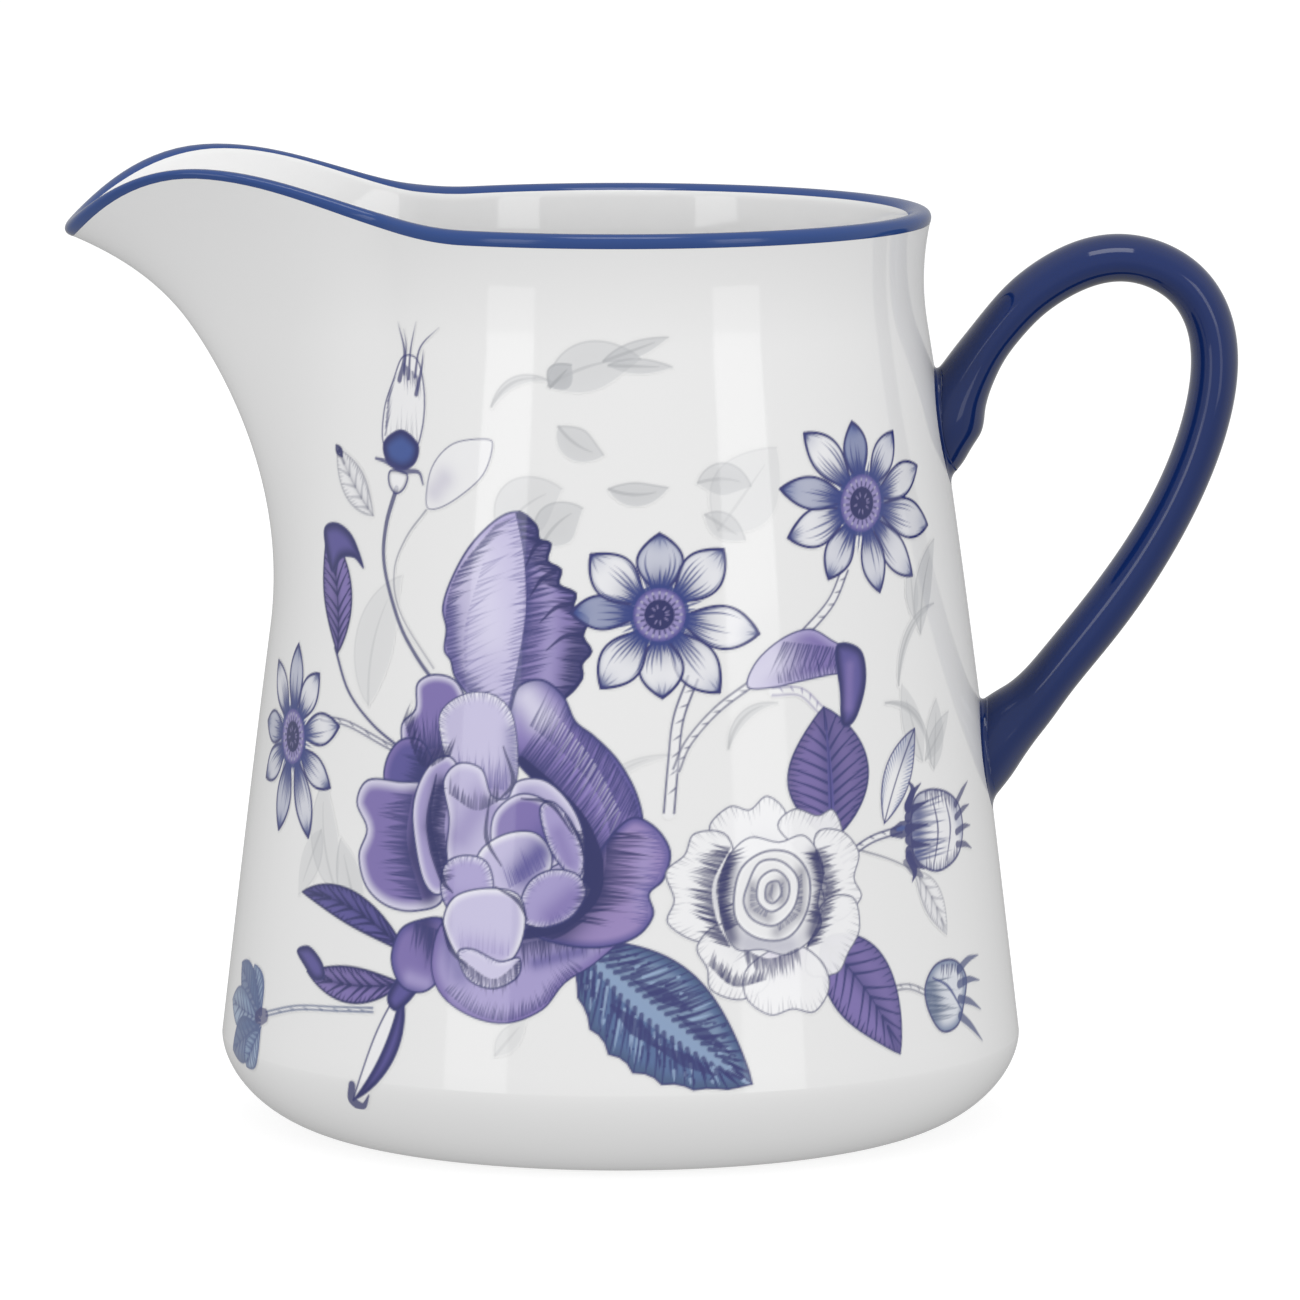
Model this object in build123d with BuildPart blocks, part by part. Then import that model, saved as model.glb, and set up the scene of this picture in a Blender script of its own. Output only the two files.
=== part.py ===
"""Porcelain cream jug: a slip-cast tapered body with an integral beak spout, and a handle luted on.

Frame: the origin is in the middle of the jug's length and width, at the level it stands on; +Z is
up, the spout points to -X and the handle to +X. The pieces are first made about the body's own
axis and moved to that origin at the end. All sizes are in millimetres.
"""
from build123d import *
from math import cos, hypot, pi, radians, sin
import os

# Body: a tapered round wall on a rounded shoulder
foot_radius = 28.3          # outer edge of the flat that the jug stands on
shoulder_height = 9.0       # where the rounded base corner ends
shoulder_radius = 39.2      # widest radius of the body
shoulder_fullness = 1.8     # superellipse exponent of the base corner
taper = 0.118               # radius lost per millimetre of height
waist_depth = 1.0           # extra narrowing towards the waist
waist_span = 70.0
flare_start = 79.0          # the lip turns out above this height
flare_span = 10.0
flare = 2.0
rim_height = 90.0           # rim at the sides and at the handle
wall = 2.4                  # thickness of the cast wall
floor_top = 5.2             # inside of the floor
inner_corner = 7.0          # inside corner between floor and wall

# Spout: the wall drawn out into a beak on the -X side
spout_start = 49.0          # height where the wall starts to leave the round
spout_reach = 24.6          # how far the beak stands out at the rim
spout_half_angle = radians(44)
crest_rise = 5.0            # the beak's rim is highest here, above the side rim
crest_x = 40.0              # distance of that crest from the axis
crest_span = 25.0
tip_drop = 0.0316           # the rim falls as this times the square of the way past the crest
late_flow = 0.18            # share of the reach that comes in only close to the rim
late_power = 12             # how late that share comes in

# Coloured lip band, foot ring and transfers
band_depth = 1.7            # height of the blue band below the rim
foot_ring_inner = 25.3
foot_recess = 2.0
transfer_thickness = 0.15
transfer_bottom = 4.5
transfer_top = 77.0
transfer_half_angle = 78.0  # degrees each side of the middle of the front
transfer_reach = 90.0       # radius of the sector that cuts the film out, well past the wall

# Handle: (x, z, half thickness in the side view, half width), from the upper end to the lower
handle_stations = [
    (30.4, 63.6, 1.0, 2.4),
    (31.2, 65.3, 2.2, 4.0),
    (31.4, 67.1, 3.1, 4.9),
    (31.7, 68.9, 3.7, 5.2),
    (32.4, 70.9, 3.5, 5.1),
    (33.4, 72.7, 2.8, 4.8),
    (34.5, 74.7, 2.5, 4.5),
    (35.85, 76.75, 2.25, 4.3),
    (37.7, 79.1, 2.25, 4.1),
    (40.4, 81.9, 2.3, 4.0),
    (45.2, 84.7, 2.35, 4.0),
    (50.3, 85.2, 2.3, 4.0),
    (55.2, 82.9, 2.3, 4.0),
    (57.8, 78.4, 2.3, 4.0),
    (58.0, 72.5, 2.3, 4.0),
    (56.2, 65.6, 2.25, 4.0),
    (52.9, 58.5, 2.25, 4.0),
    (48.3, 51.4, 2.4, 4.0),
    (43.7, 45.7, 2.4, 4.1),
    (41.8, 43.3, 2.45, 4.2),
    (40.0, 41.2, 2.75, 4.4),
    (38.3, 39.7, 3.2, 4.8),
    (36.8, 38.1, 3.45, 5.2),
    (35.4, 36.0, 3.5, 5.4),
    (34.5, 33.7, 3.0, 4.9),
    (34.0, 31.2, 1.9, 3.6),
]
slip_thickness = 0.6        # clay slip between a handle end and the wall
slip_margin = 0.7           # how far the slip bead shows round the handle's end
slip_block = 30.0           # size of the region round a handle end that its slip is cut from

axis_x = -2.75              # where the body's axis stands in the finished frame

around = 48                 # points in each horizontal section of the wall
shoulder_rings = 9          # sections in the rounded base corner
corner_rings = 7            # sections in the inside corner at the floor
wall_rings = 6              # sections in the round wall up to the spout
spout_rings = 15            # sections from there to the rim
ring_crowding = 1.5         # above 1 puts those sections closer together near the rim
slope_step = 0.05           # height over which the wall's slope is taken
lip_run = 0.3               # height below the rim over which the slope past it is taken
blank_top = 99.0            # the wall runs on straight past the rim to here before it is cut
rim_line_start = 15.0       # the cut line along the rim is flat up to this distance from the axis
rim_line_step = 3.5
rim_line_steps = 12
cut_left = -95.0            # the rim cutter's outline, clear of the jug all round
cut_right = 70.0
cut_top = 120.0
cut_half_depth = 60.0


def side_radius(z):
    """Outer radius of the round part of the wall at height z."""
    if z < shoulder_height:
        drop = ((shoulder_height - z) / shoulder_height) ** shoulder_fullness
        return foot_radius + (shoulder_radius - foot_radius) * (1 - drop) ** (1 / shoulder_fullness)
    above = z - shoulder_height
    turned = min(max(z - flare_start, 0), rim_height - flare_start)
    lip = flare * turned * (2 * max(z - flare_start, 0) - turned) / flare_span ** 2
    return shoulder_radius - taper * above - waist_depth * (above / waist_span) ** 3 + lip


def rim_level(x):
    """Height of the rim above a point at distance x towards the spout."""
    if x > crest_x:
        return rim_height + crest_rise - tip_drop * (x - crest_x) ** 2
    if x > crest_x - crest_span:
        return rim_height + crest_rise * cos(pi / 2 * (crest_x - x) / crest_span) ** 2
    return rim_height


def beak(angle):
    """Share of the spout's reach at an angle from the -X direction."""
    return cos(pi / 2 * angle / spout_half_angle) ** 2 if abs(angle) < spout_half_angle else 0.0


def rim_radius(angle):
    return side_radius(rim_height) + spout_reach * beak(angle)


def rim_z(angle):
    return rim_level(rim_radius(angle) * cos(angle))


def meridian(angle, z):
    """Outer radius of the wall at height z, at an angle from the -X direction."""
    climb = (z - spout_start) / (rim_z(angle) - spout_start)
    if climb <= 0:
        return side_radius(z)
    grown = (1 - late_flow) * climb ** 2 + late_flow * climb ** late_power
    return side_radius(z) + spout_reach * beak(angle) * grown


def skin_point(angle, z, inset):
    """Point on the wall, moved inwards square to the wall's slope, as (radius, height)."""
    rise_r = meridian(angle, z + slope_step) - meridian(angle, z - slope_step)
    slope = hypot(rise_r, 2 * slope_step)
    return meridian(angle, z) - inset * 2 * slope_step / slope, z + inset * rise_r / slope


def climb_point(angle, climb, inset):
    """Skin point at a share of the way from the spout's start up to the rim."""
    return skin_point(angle, spout_start + climb * (rim_z(angle) - spout_start), inset)


def ring(radius_height):
    """Closed wire through a (radius, height) pair for each angle, starting at the handle side."""
    points = []
    for i in range(around):
        angle = pi - 2 * pi * i / around
        radius, height = radius_height(angle)
        points.append((-radius * cos(angle), -radius * sin(angle), height))
    with BuildLine() as line:
        Spline(*points, periodic=True)
    return line.wire()


def skin(inset, low_heights, low_point):
    """Solid inside the wall's outer skin, moved inwards by inset, running on past the rim."""
    rings = [ring(lambda angle, z=z: low_point(angle, z)) for z in low_heights]
    for climb in spout_climbs:
        rings.append(ring(lambda angle, c=climb: climb_point(angle, c, inset)))

    def past_rim(angle):
        r0, z0 = skin_point(angle, rim_z(angle) - lip_run, inset)
        r1, z1 = skin_point(angle, rim_z(angle), inset)
        grow = (blank_top - z1) / (z1 - z0)
        return r1 + (r1 - r0) * grow, blank_top

    rings.append(ring(past_rim))
    return Solid.make_loft(rings, ruled=True)


def outer_low(inset):
    return lambda angle, z: (side_radius(z) - inset, z)


def inner_low(angle, z):
    """Inside of the wall below the spout, with its rounded corner at the floor."""
    wall_radius = side_radius(max(z, shoulder_height)) - wall
    if z >= floor_top + inner_corner:
        return wall_radius, z
    depth = floor_top + inner_corner - z
    return wall_radius - inner_corner + (inner_corner ** 2 - depth ** 2) ** 0.5, z


shoulder_steps = [sin(pi / 2 * i / shoulder_rings) ** 2 for i in range(shoulder_rings + 1)]
wall_steps = [i / wall_rings for i in range(1, wall_rings + 1)]
wall_heights = [shoulder_height + (spout_start - shoulder_height) * step for step in wall_steps]
outer_heights = [shoulder_height * step for step in shoulder_steps] + wall_heights
corner_steps = [1 - cos(pi / 2 * i / corner_rings) for i in range(corner_rings + 1)]
inner_heights = [floor_top + inner_corner * step for step in corner_steps] + wall_heights[1:]
spout_climbs = [1 - (1 - i / spout_rings) ** ring_crowding for i in range(1, spout_rings + 1)]
outer_skin = skin(0.0, outer_heights, outer_low(0.0))
inner_skin = skin(wall, inner_heights, inner_low)


def rim_cutter(lowered):
    """Everything above the rim line, lowered by some depth."""
    side_level = rim_height - lowered
    stations = [-rim_line_start - rim_line_step * i for i in range(rim_line_steps + 1)]
    rim_line = [(x, rim_level(-x) - lowered) for x in stations]
    tip_slope = -2 * tip_drop * (-stations[-1] - crest_x)
    with BuildPart() as cutter:
        with BuildSketch(Plane.XZ):
            with BuildLine():
                Line((cut_right, side_level), rim_line[0])
                Spline(*rim_line, tangents=((-1, 0), (-1, tip_slope)))
                Polyline(
                    rim_line[-1],
                    (cut_left, rim_line[-1][1]),
                    (cut_left, cut_top),
                    (cut_right, cut_top),
                    (cut_right, side_level),
                )
            make_face()
        extrude(amount=cut_half_depth, both=True)
    return cutter.part


with BuildPart() as wall_blank:
    add(outer_skin)
    add(inner_skin, mode=Mode.SUBTRACT)

# The cast body: wall, spout, floor and foot ring in one piece
with BuildPart() as body:
    add(wall_blank.part)
    add(rim_cutter(band_depth), mode=Mode.SUBTRACT)
    with BuildSketch(Plane.XY):
        Circle(foot_ring_inner)
    extrude(amount=foot_recess, mode=Mode.SUBTRACT)

# The blue band over the lip
with BuildPart() as rim_band:
    add(wall_blank.part)
    add(rim_cutter(0.0), mode=Mode.SUBTRACT)
    add(rim_cutter(band_depth), mode=Mode.INTERSECT)


def handle_loft(margin):
    """Oval sections along the handle, each square to its path, grown by a margin."""
    with BuildPart() as grip:
        for i, (x, z, half_thickness, half_width) in enumerate(handle_stations):
            before = handle_stations[max(i - 1, 0)]
            after = handle_stations[min(i + 1, len(handle_stations) - 1)]
            along = (after[0] - before[0], 0, after[1] - before[1])
            with BuildSketch(Plane(origin=(x, 0, z), x_dir=(0, 1, 0), z_dir=along)):
                Ellipse(half_width + margin, half_thickness + margin)
        loft()
    return grip.part


seat_skin = skin(-slip_thickness, outer_heights, outer_low(-slip_thickness))

with BuildPart() as handle:
    add(handle_loft(0.0))
    add(seat_skin, mode=Mode.SUBTRACT)


def slip_pad(end):
    """Slip between one handle end and the wall: a thin pad that shows as a bead round the end."""
    with BuildPart() as pad:
        with Locations((handle_stations[end][0], 0, handle_stations[end][1])):
            Box(slip_block, slip_block, slip_block)
        add(handle_loft(slip_margin), mode=Mode.INTERSECT)
        add(seat_skin, mode=Mode.INTERSECT)
        add(outer_skin, mode=Mode.SUBTRACT)
    return pad


upper_luting_joint = slip_pad(0)
lower_luting_joint = slip_pad(-1)


def transfer(middle):
    """Printed film that follows the wall, centred on an angle from +X."""
    first = radians(middle - transfer_half_angle)
    last = radians(middle + transfer_half_angle)
    first_corner = (transfer_reach * cos(first), transfer_reach * sin(first))
    last_corner = (transfer_reach * cos(last), transfer_reach * sin(last))
    with BuildPart() as film:
        with BuildSketch(Plane.XY.offset(transfer_bottom)):
            with BuildLine():
                Line((0, 0), first_corner)
                CenterArc((0, 0), transfer_reach, middle - transfer_half_angle,
                          2 * transfer_half_angle)
                Line(last_corner, (0, 0))
            make_face()
        extrude(amount=transfer_top - transfer_bottom)
        add(printed_skin, mode=Mode.INTERSECT)
        add(outer_skin, mode=Mode.SUBTRACT)
    return film


printed_skin = skin(-transfer_thickness, outer_heights, outer_low(-transfer_thickness))
floral_transfer_front = transfer(-90.0)
floral_transfer_back = transfer(90.0)

pieces = {
    "body": body,
    "rim_band": rim_band,
    "handle": handle,
    "upper_luting_joint": upper_luting_joint,
    "lower_luting_joint": lower_luting_joint,
    "floral_transfer_front": floral_transfer_front,
    "floral_transfer_back": floral_transfer_back,
}

os.makedirs("parts", exist_ok=True)
for name, piece in pieces.items():
    piece.part.move(Location((axis_x, 0, 0)))
    piece.part.label = name
    export_step(piece.part, f"parts/{name}.step")
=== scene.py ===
"""Looks of the porcelain cream jug: glazed body, enamelled rim, cobalt handle and flower print.

The formulas use millimetres about the body's own axis; place() moves points into the row frame in metres.
Angles called theta run round the body from the spout; phi runs from the middle of the front, -Y.
"""

from math import cos, pi, radians, sin

import bpy
import numpy as np
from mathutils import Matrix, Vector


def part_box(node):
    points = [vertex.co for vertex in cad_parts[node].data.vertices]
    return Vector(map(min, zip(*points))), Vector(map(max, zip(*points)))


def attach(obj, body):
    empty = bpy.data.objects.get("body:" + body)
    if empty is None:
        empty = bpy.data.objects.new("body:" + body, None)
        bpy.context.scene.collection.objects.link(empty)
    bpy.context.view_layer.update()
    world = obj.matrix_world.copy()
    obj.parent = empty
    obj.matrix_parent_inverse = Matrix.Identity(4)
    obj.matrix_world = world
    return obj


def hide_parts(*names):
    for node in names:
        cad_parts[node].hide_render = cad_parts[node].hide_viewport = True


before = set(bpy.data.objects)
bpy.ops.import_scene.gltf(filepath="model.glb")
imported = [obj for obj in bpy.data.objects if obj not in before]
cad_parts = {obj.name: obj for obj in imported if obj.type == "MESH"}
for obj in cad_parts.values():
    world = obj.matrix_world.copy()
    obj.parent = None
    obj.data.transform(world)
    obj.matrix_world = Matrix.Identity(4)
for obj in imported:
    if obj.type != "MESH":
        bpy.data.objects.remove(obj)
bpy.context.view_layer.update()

# ---------------------------------------------------------------- the jug's form
MM = 0.001
_, body_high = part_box("body")
shoulder_radius = body_high.y / MM
axis_x = body_high.x - body_high.y    # metres

foot_radius = 28.3
foot_ring_inner = 25.3
foot_recess = 2.0
shoulder_height = 9.0
fullness = 1.8              # superellipse exponent of the base corner
taper = 0.118               # radius lost per millimetre of height
waist_span = 70.0           # the wall loses one more millimetre of radius over this height
flare_start = 79.0          # the lip turns out above this height
flare_span = 10.0
flare = 2.0
rim_height = 90.0
wall = 2.4
floor_top = 5.2
inner_corner = 7.0
spout_start = 49.0
spout_reach = 24.6          # how far the beak stands out at the rim
spout_half_angle = radians(44)
early_flow, late_flow = 0.82, 0.18    # shares of the reach that come in steadily, and late
late_power = 12
crest_x = 40.0
crest_rise = 5.0
crest_span = 25.0
tip_drop = 0.0316           # the rim falls as this times the square of the way past the crest
lip_run = 1.15              # how far below the rim's edge the rounding of the lip starts
slope_step = 0.05           # half the height over which the wall's slope is taken
search_start = 80.0         # the inner edge of the rim is always above this height
halvings = 40


def side_radius(z):
    z = np.asarray(z, float)
    drop = (np.clip(shoulder_height - z, 0, shoulder_height) / shoulder_height) ** fullness
    low = foot_radius + (shoulder_radius - foot_radius) * (1 - drop) ** (1 / fullness)
    above = z - shoulder_height
    past = np.clip(z - flare_start, 0, None)
    turned = np.clip(past, 0, rim_height - flare_start)
    lip = flare * turned * (2 * past - turned) / flare_span ** 2
    high = shoulder_radius - taper * above - (above / waist_span) ** 3 + lip
    return np.where(z < shoulder_height, low, high)


def rim_level(x):
    past = rim_height + crest_rise - tip_drop * (x - crest_x) ** 2
    climbing = rim_height + crest_rise * np.cos(pi / 2 * np.clip((crest_x - x) / crest_span, 0, 1)) ** 2
    return np.where(x > crest_x, past, climbing)


def beak(theta):
    return np.cos(pi / 2 * np.clip(np.abs(theta) / spout_half_angle, 0, 1)) ** 2


def rim_z(theta):
    return rim_level((side_radius(rim_height) + spout_reach * beak(theta)) * np.cos(theta))


def meridian(theta, z):
    """Outer radius of the wall."""
    climb = np.clip((z - spout_start) / (rim_z(theta) - spout_start), 0, None)
    flow = early_flow * climb ** 2 + late_flow * climb ** late_power
    return side_radius(z) + spout_reach * beak(theta) * flow


def skin(theta, z, inset):
    """Point on the wall moved in square to its slope, as (radius, height), and the slope's direction."""
    rise = meridian(theta, z + slope_step) - meridian(theta, z - slope_step)
    slope = np.hypot(rise, 2 * slope_step)
    direction = np.stack([rise / slope, 2 * slope_step / slope], -1)
    point = np.stack([meridian(theta, z) - inset * direction[..., 1], z + inset * direction[..., 0]], -1)
    return point, direction


def inner_end(theta):
    """Height on the outer wall whose inner point, square to it, is level with the rim there."""
    low, high = np.full_like(theta, search_start), rim_z(theta)
    for _ in range(halvings):
        middle = (low + high) / 2
        point, _ = skin(theta, middle, wall)
        under = point[..., 1] < rim_level(point[..., 0] * np.cos(theta))
        low, high = np.where(under, middle, low), np.where(under, high, middle)
    return low


def lip_profile(theta, steps):
    """The rounded lip from outside to inside, and the heights on the wall where it starts and ends."""
    outer_z, inner_z = rim_z(theta), inner_end(theta)
    _, lean = skin(theta, outer_z, 0.0)
    start_z = outer_z - lip_run * lean[..., 1]
    end_z = inner_z - lip_run * lean[..., 1]
    a, a_dir = skin(theta, start_z, 0.0)
    b, b_dir = skin(theta, end_z, wall)
    pull = 4 / 3 * lip_run
    rows = []
    for t in np.linspace(0, 1, steps + 1):
        rows.append((1 - t) ** 3 * a + 3 * t * (1 - t) ** 2 * (a + pull * a_dir)
                    + 3 * t * t * (1 - t) * (b + pull * b_dir) + t ** 3 * b)
    return rows, start_z, end_z


def level_row(theta, radius, z):
    return np.stack([np.full_like(theta, radius), np.full_like(theta, z)], -1)


def place(theta, radius_height):
    r, z = radius_height[..., 0], radius_height[..., 1]
    return np.stack([axis_x - r * np.cos(theta) * MM, -r * np.sin(theta) * MM, z * MM], -1)


# ---------------------------------------------------------------- meshes
def mesh_object(name, points, faces):
    mesh = bpy.data.meshes.new(name)
    mesh.from_pydata(np.asarray(points, float).tolist(), [], faces)
    mesh.validate()
    mesh.polygons.foreach_set("use_smooth", [True] * len(mesh.polygons))
    mesh.update()
    thing = bpy.data.objects.new(name, mesh)
    bpy.context.scene.collection.objects.link(thing)
    return thing


def grid_faces(rows, columns, close_rows=False):
    """Quads over a grid of points that closes on itself along its columns, and along its rows if asked."""
    faces = []
    for r in range(rows if close_rows else rows - 1):
        below, above = r * columns, (r + 1) % rows * columns
        for c in range(columns):
            right = (c + 1) % columns
            faces.append((below + c, below + right, above + right, above + c))
    return faces


around = 320
theta_ring = 2 * pi * np.arange(around) / around - pi
foot_profile = ((0.02, foot_recess), (12.0, foot_recess), (24.2, foot_recess), (24.8, 1.97), (25.1, 1.8),
                (25.27, 1.5), (foot_ring_inner, 1.0), (foot_ring_inner, 0.45), (25.36, 0.2), (25.5, 0.06),
                (25.7, 0.0), (26.4, 0.0), (27.2, 0.0), (27.9, 0.0))
shoulder_rings, wall_rings, inner_rings, corner_rings, body_lip_steps = 28, 24, 19, 16, 14
spout_rings = 64
ring_crowding = 1.35        # above 1 puts those rings closer together near the rim
floor_shares = (0.7, 0.4, 0.15, 0.001)    # where the floor has rings, as shares of its radius


def body_rows():
    th = theta_ring
    rows = [level_row(th, r, z) for r, z in foot_profile]
    for i in range(shoulder_rings + 1):
        z = shoulder_height * sin(pi / 2 * i / shoulder_rings) ** 2
        rows.append(level_row(th, float(side_radius(z)), z))
    for z in np.linspace(shoulder_height, spout_start, wall_rings + 1)[1:]:
        rows.append(level_row(th, float(side_radius(z)), z))
    lip, start_z, end_z = lip_profile(th, body_lip_steps)
    climbs = [1 - (1 - i / spout_rings) ** ring_crowding for i in range(1, spout_rings)]
    rows += [skin(th, spout_start + climb * (start_z - spout_start), 0.0)[0] for climb in climbs]
    rows += lip
    rows += [skin(th, spout_start + climb * (end_z - spout_start), wall)[0] for climb in reversed(climbs)]
    for z in np.linspace(spout_start, floor_top + inner_corner, inner_rings + 1)[:-1]:
        rows.append(level_row(th, float(side_radius(z)) - wall, z))
    for turn in np.linspace(0, pi / 2, corner_rings + 1):
        z = floor_top + inner_corner * (1 - sin(turn))
        reach = float(side_radius(max(shoulder_height, z))) - wall
        rows.append(level_row(th, reach - inner_corner * (1 - cos(turn)), z))
    inside = shoulder_radius - wall - inner_corner
    rows += [level_row(th, inside * share, floor_top) for share in floor_shares]
    return rows


body_points = np.array([place(theta_ring, row) for row in body_rows()])
body_faces = grid_faces(len(body_points), around)
body = mesh_object("jug_body", body_points.reshape(-1, 3), body_faces)

# Enamel over the lip: the same profile, a little proud of the glaze
enamel_below = 0.25         # how far it runs down the outside past the rounding
enamel_proud = 0.03
lip_steps = 20
lip_steps_covered = 17      # it stops just inside the crest


def enamel_rows():
    th = theta_ring
    lip, start_z, _ = lip_profile(th, lip_steps)
    _, lean = skin(th, start_z, 0.0)
    rows = [skin(th, start_z - down * lean[..., 1], 0.0)[0] for down in (enamel_below, enamel_below / 2)]
    rows = np.array(rows + lip[:lip_steps_covered + 1])
    along = np.gradient(rows, axis=0)
    normal = np.stack([-along[..., 1], along[..., 0]], -1)
    normal /= np.linalg.norm(normal, axis=-1, keepdims=True)
    lift = np.full(len(rows), enamel_proud)
    lift[0] = lift[-1] = 0.0
    return rows - normal * lift[:, None, None]


rim_rows = enamel_rows()
rim_points = np.array([place(theta_ring, row) for row in rim_rows])
rim = mesh_object("rim_enamel", rim_points.reshape(-1, 3), grid_faces(len(rim_points), around))

# Handle: an oval section carried along a smooth loop
handle_stations = np.array([
    (30.4, 63.6, 1.0, 2.4), (31.2, 65.3, 2.2, 4.0), (31.4, 67.1, 3.1, 4.9), (31.7, 68.9, 3.7, 5.2),
    (32.4, 70.9, 3.5, 5.1), (33.4, 72.7, 2.8, 4.8), (34.5, 74.7, 2.5, 4.5), (35.85, 76.75, 2.25, 4.3),
    (37.7, 79.1, 2.25, 4.1), (40.4, 81.9, 2.3, 4.0), (45.2, 84.7, 2.35, 4.0), (50.3, 85.2, 2.3, 4.0),
    (55.2, 82.9, 2.3, 4.0), (57.8, 78.4, 2.3, 4.0), (58.0, 72.5, 2.3, 4.0), (56.2, 65.6, 2.25, 4.0),
    (52.9, 58.5, 2.25, 4.0), (48.3, 51.4, 2.4, 4.0), (43.7, 45.7, 2.4, 4.1), (41.8, 43.3, 2.45, 4.2),
    (40.0, 41.2, 2.75, 4.4), (38.3, 39.7, 3.2, 4.8), (36.8, 38.1, 3.45, 5.2), (35.4, 36.0, 3.5, 5.4),
    (34.5, 33.7, 3.0, 4.9), (34.0, 31.2, 1.9, 3.6)])


def between(p0, p1, p2, p3, t):
    """Catmull-Rom points from p1 to p2."""
    return 0.5 * (2 * p1 + (p2 - p0) * t + (2 * p0 - 5 * p1 + 4 * p2 - p3) * t ** 2
                  + (3 * p1 - p0 - 3 * p2 + p3) * t ** 3)


def smooth_through(points, steps):
    """Smooth line through the points, each a row of numbers."""
    ends = np.vstack([2 * points[0] - points[1], points, 2 * points[-1] - points[-2]])
    t = np.linspace(0, 1, steps, endpoint=False)[:, None]
    out = [between(*four, t) for four in zip(ends, ends[1:], ends[2:], ends[3:])]
    return np.vstack(out + [points[-1:]])


def relaxed(line, rounds):
    """The line with its inner points averaged with their neighbours."""
    line = line.copy()
    for _ in range(rounds):
        line[1:-1] = (line[:-2] + 2 * line[1:-1] + line[2:]) / 4
    return line


handle_steps, handle_rounds, handle_around = 14, 60, 72
handle_line = relaxed(smooth_through(handle_stations, handle_steps), handle_rounds)
section_turn = 2 * pi * np.arange(handle_around) / handle_around


def handle_surface():
    """Rings of points round the handle, in millimetres about the body's axis."""
    along = np.gradient(handle_line[:, :2], axis=0)
    along /= np.linalg.norm(along, axis=1, keepdims=True)
    across = np.stack([-along[:, 1], along[:, 0]], 1)
    thick = handle_line[:, 2:3] * np.sin(section_turn)
    wide = handle_line[:, 3:4] * np.cos(section_turn)
    x = handle_line[:, 0:1] + across[:, 0:1] * thick
    z = handle_line[:, 1:2] + across[:, 1:2] * thick
    return np.stack([x, wide, z], -1)


def depth_in_wall(points):
    """How far points are inside the body's round outer skin, in millimetres."""
    return side_radius(points[..., 2]) - np.hypot(points[..., 0], points[..., 1])


def kept_in_wall(points, depth):
    """Points deeper in the wall than depth are moved out to it, towards +X."""
    limit = side_radius(points[..., 2]) - depth
    x = np.sqrt(np.clip(limit ** 2 - points[..., 1] ** 2, 0, None))
    moved = points.copy()
    moved[..., 0] = np.where(depth_in_wall(points) > depth, x, points[..., 0])
    return moved


def to_frame(points):
    return points * MM + np.array([axis_x, 0.0, 0.0])


handle_root, slip_root = 1.0, 0.8     # how deep in the wall the handle and its slip end
slip_reach = 0.9
slip_steps = 8
slip_ahead = 4              # rings from the wall to where the handle's direction is taken

grip = kept_in_wall(handle_surface(), handle_root)
grip_faces = grid_faces(len(grip), handle_around)
last = len(grip) * handle_around - 1
grip_faces += [tuple(range(handle_around)), tuple(last - i for i in range(handle_around))]
handle = mesh_object("handle_loop", to_frame(grip).reshape(-1, 3), grip_faces)


def slip_bead(name, upper):
    """A hollow fillet of slip in the corner between one handle end and the wall."""
    rings = handle_surface()
    rings = rings if upper else rings[::-1]
    depth = depth_in_wall(rings)
    corner, on_handle = [], []
    for j in range(handle_around):
        last_in = np.nonzero(depth[:len(rings) // 2, j] > 0)[0]
        i = last_in[-1] if len(last_in) else 0
        share = depth[i, j] / (depth[i, j] - depth[i + 1, j])
        at = rings[i, j] + share * (rings[i + 1, j] - rings[i, j])
        onward = rings[i + slip_ahead, j] - at
        corner.append(at)
        on_handle.append(at + onward / np.linalg.norm(onward) * slip_reach)
    corner, on_handle = np.array(corner), np.array(on_handle)
    outward = corner - corner.mean(0)
    outward[:, 0] = 0
    on_wall = corner + outward / np.linalg.norm(outward, axis=1, keepdims=True) * slip_reach
    limit = side_radius(on_wall[:, 2])
    on_wall[:, 0] = np.sqrt(limit ** 2 - on_wall[:, 1] ** 2)
    rows = [(1 - t) ** 2 * on_wall + 2 * t * (1 - t) * corner + t * t * on_handle
            for t in np.linspace(0, 1, slip_steps + 1)]
    buried = kept_in_wall(corner - (on_handle - corner), slip_root)
    rows = np.array(rows + [buried])
    return mesh_object(name, to_frame(rows).reshape(-1, 3), grid_faces(len(rows), handle_around, True))


upper_slip = slip_bead("upper_slip_bead", True)
lower_slip = slip_bead("lower_slip_bead", False)


# ---------------------------------------------------------------- materials
def material(name, color, roughness):
    made = bpy.data.materials.new(name)
    made.use_nodes = True
    shader = made.node_tree.nodes["Principled BSDF"]
    shader.inputs["Base Color"].default_value = (*color, 1)
    shader.inputs["Roughness"].default_value = roughness
    return made


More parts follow.
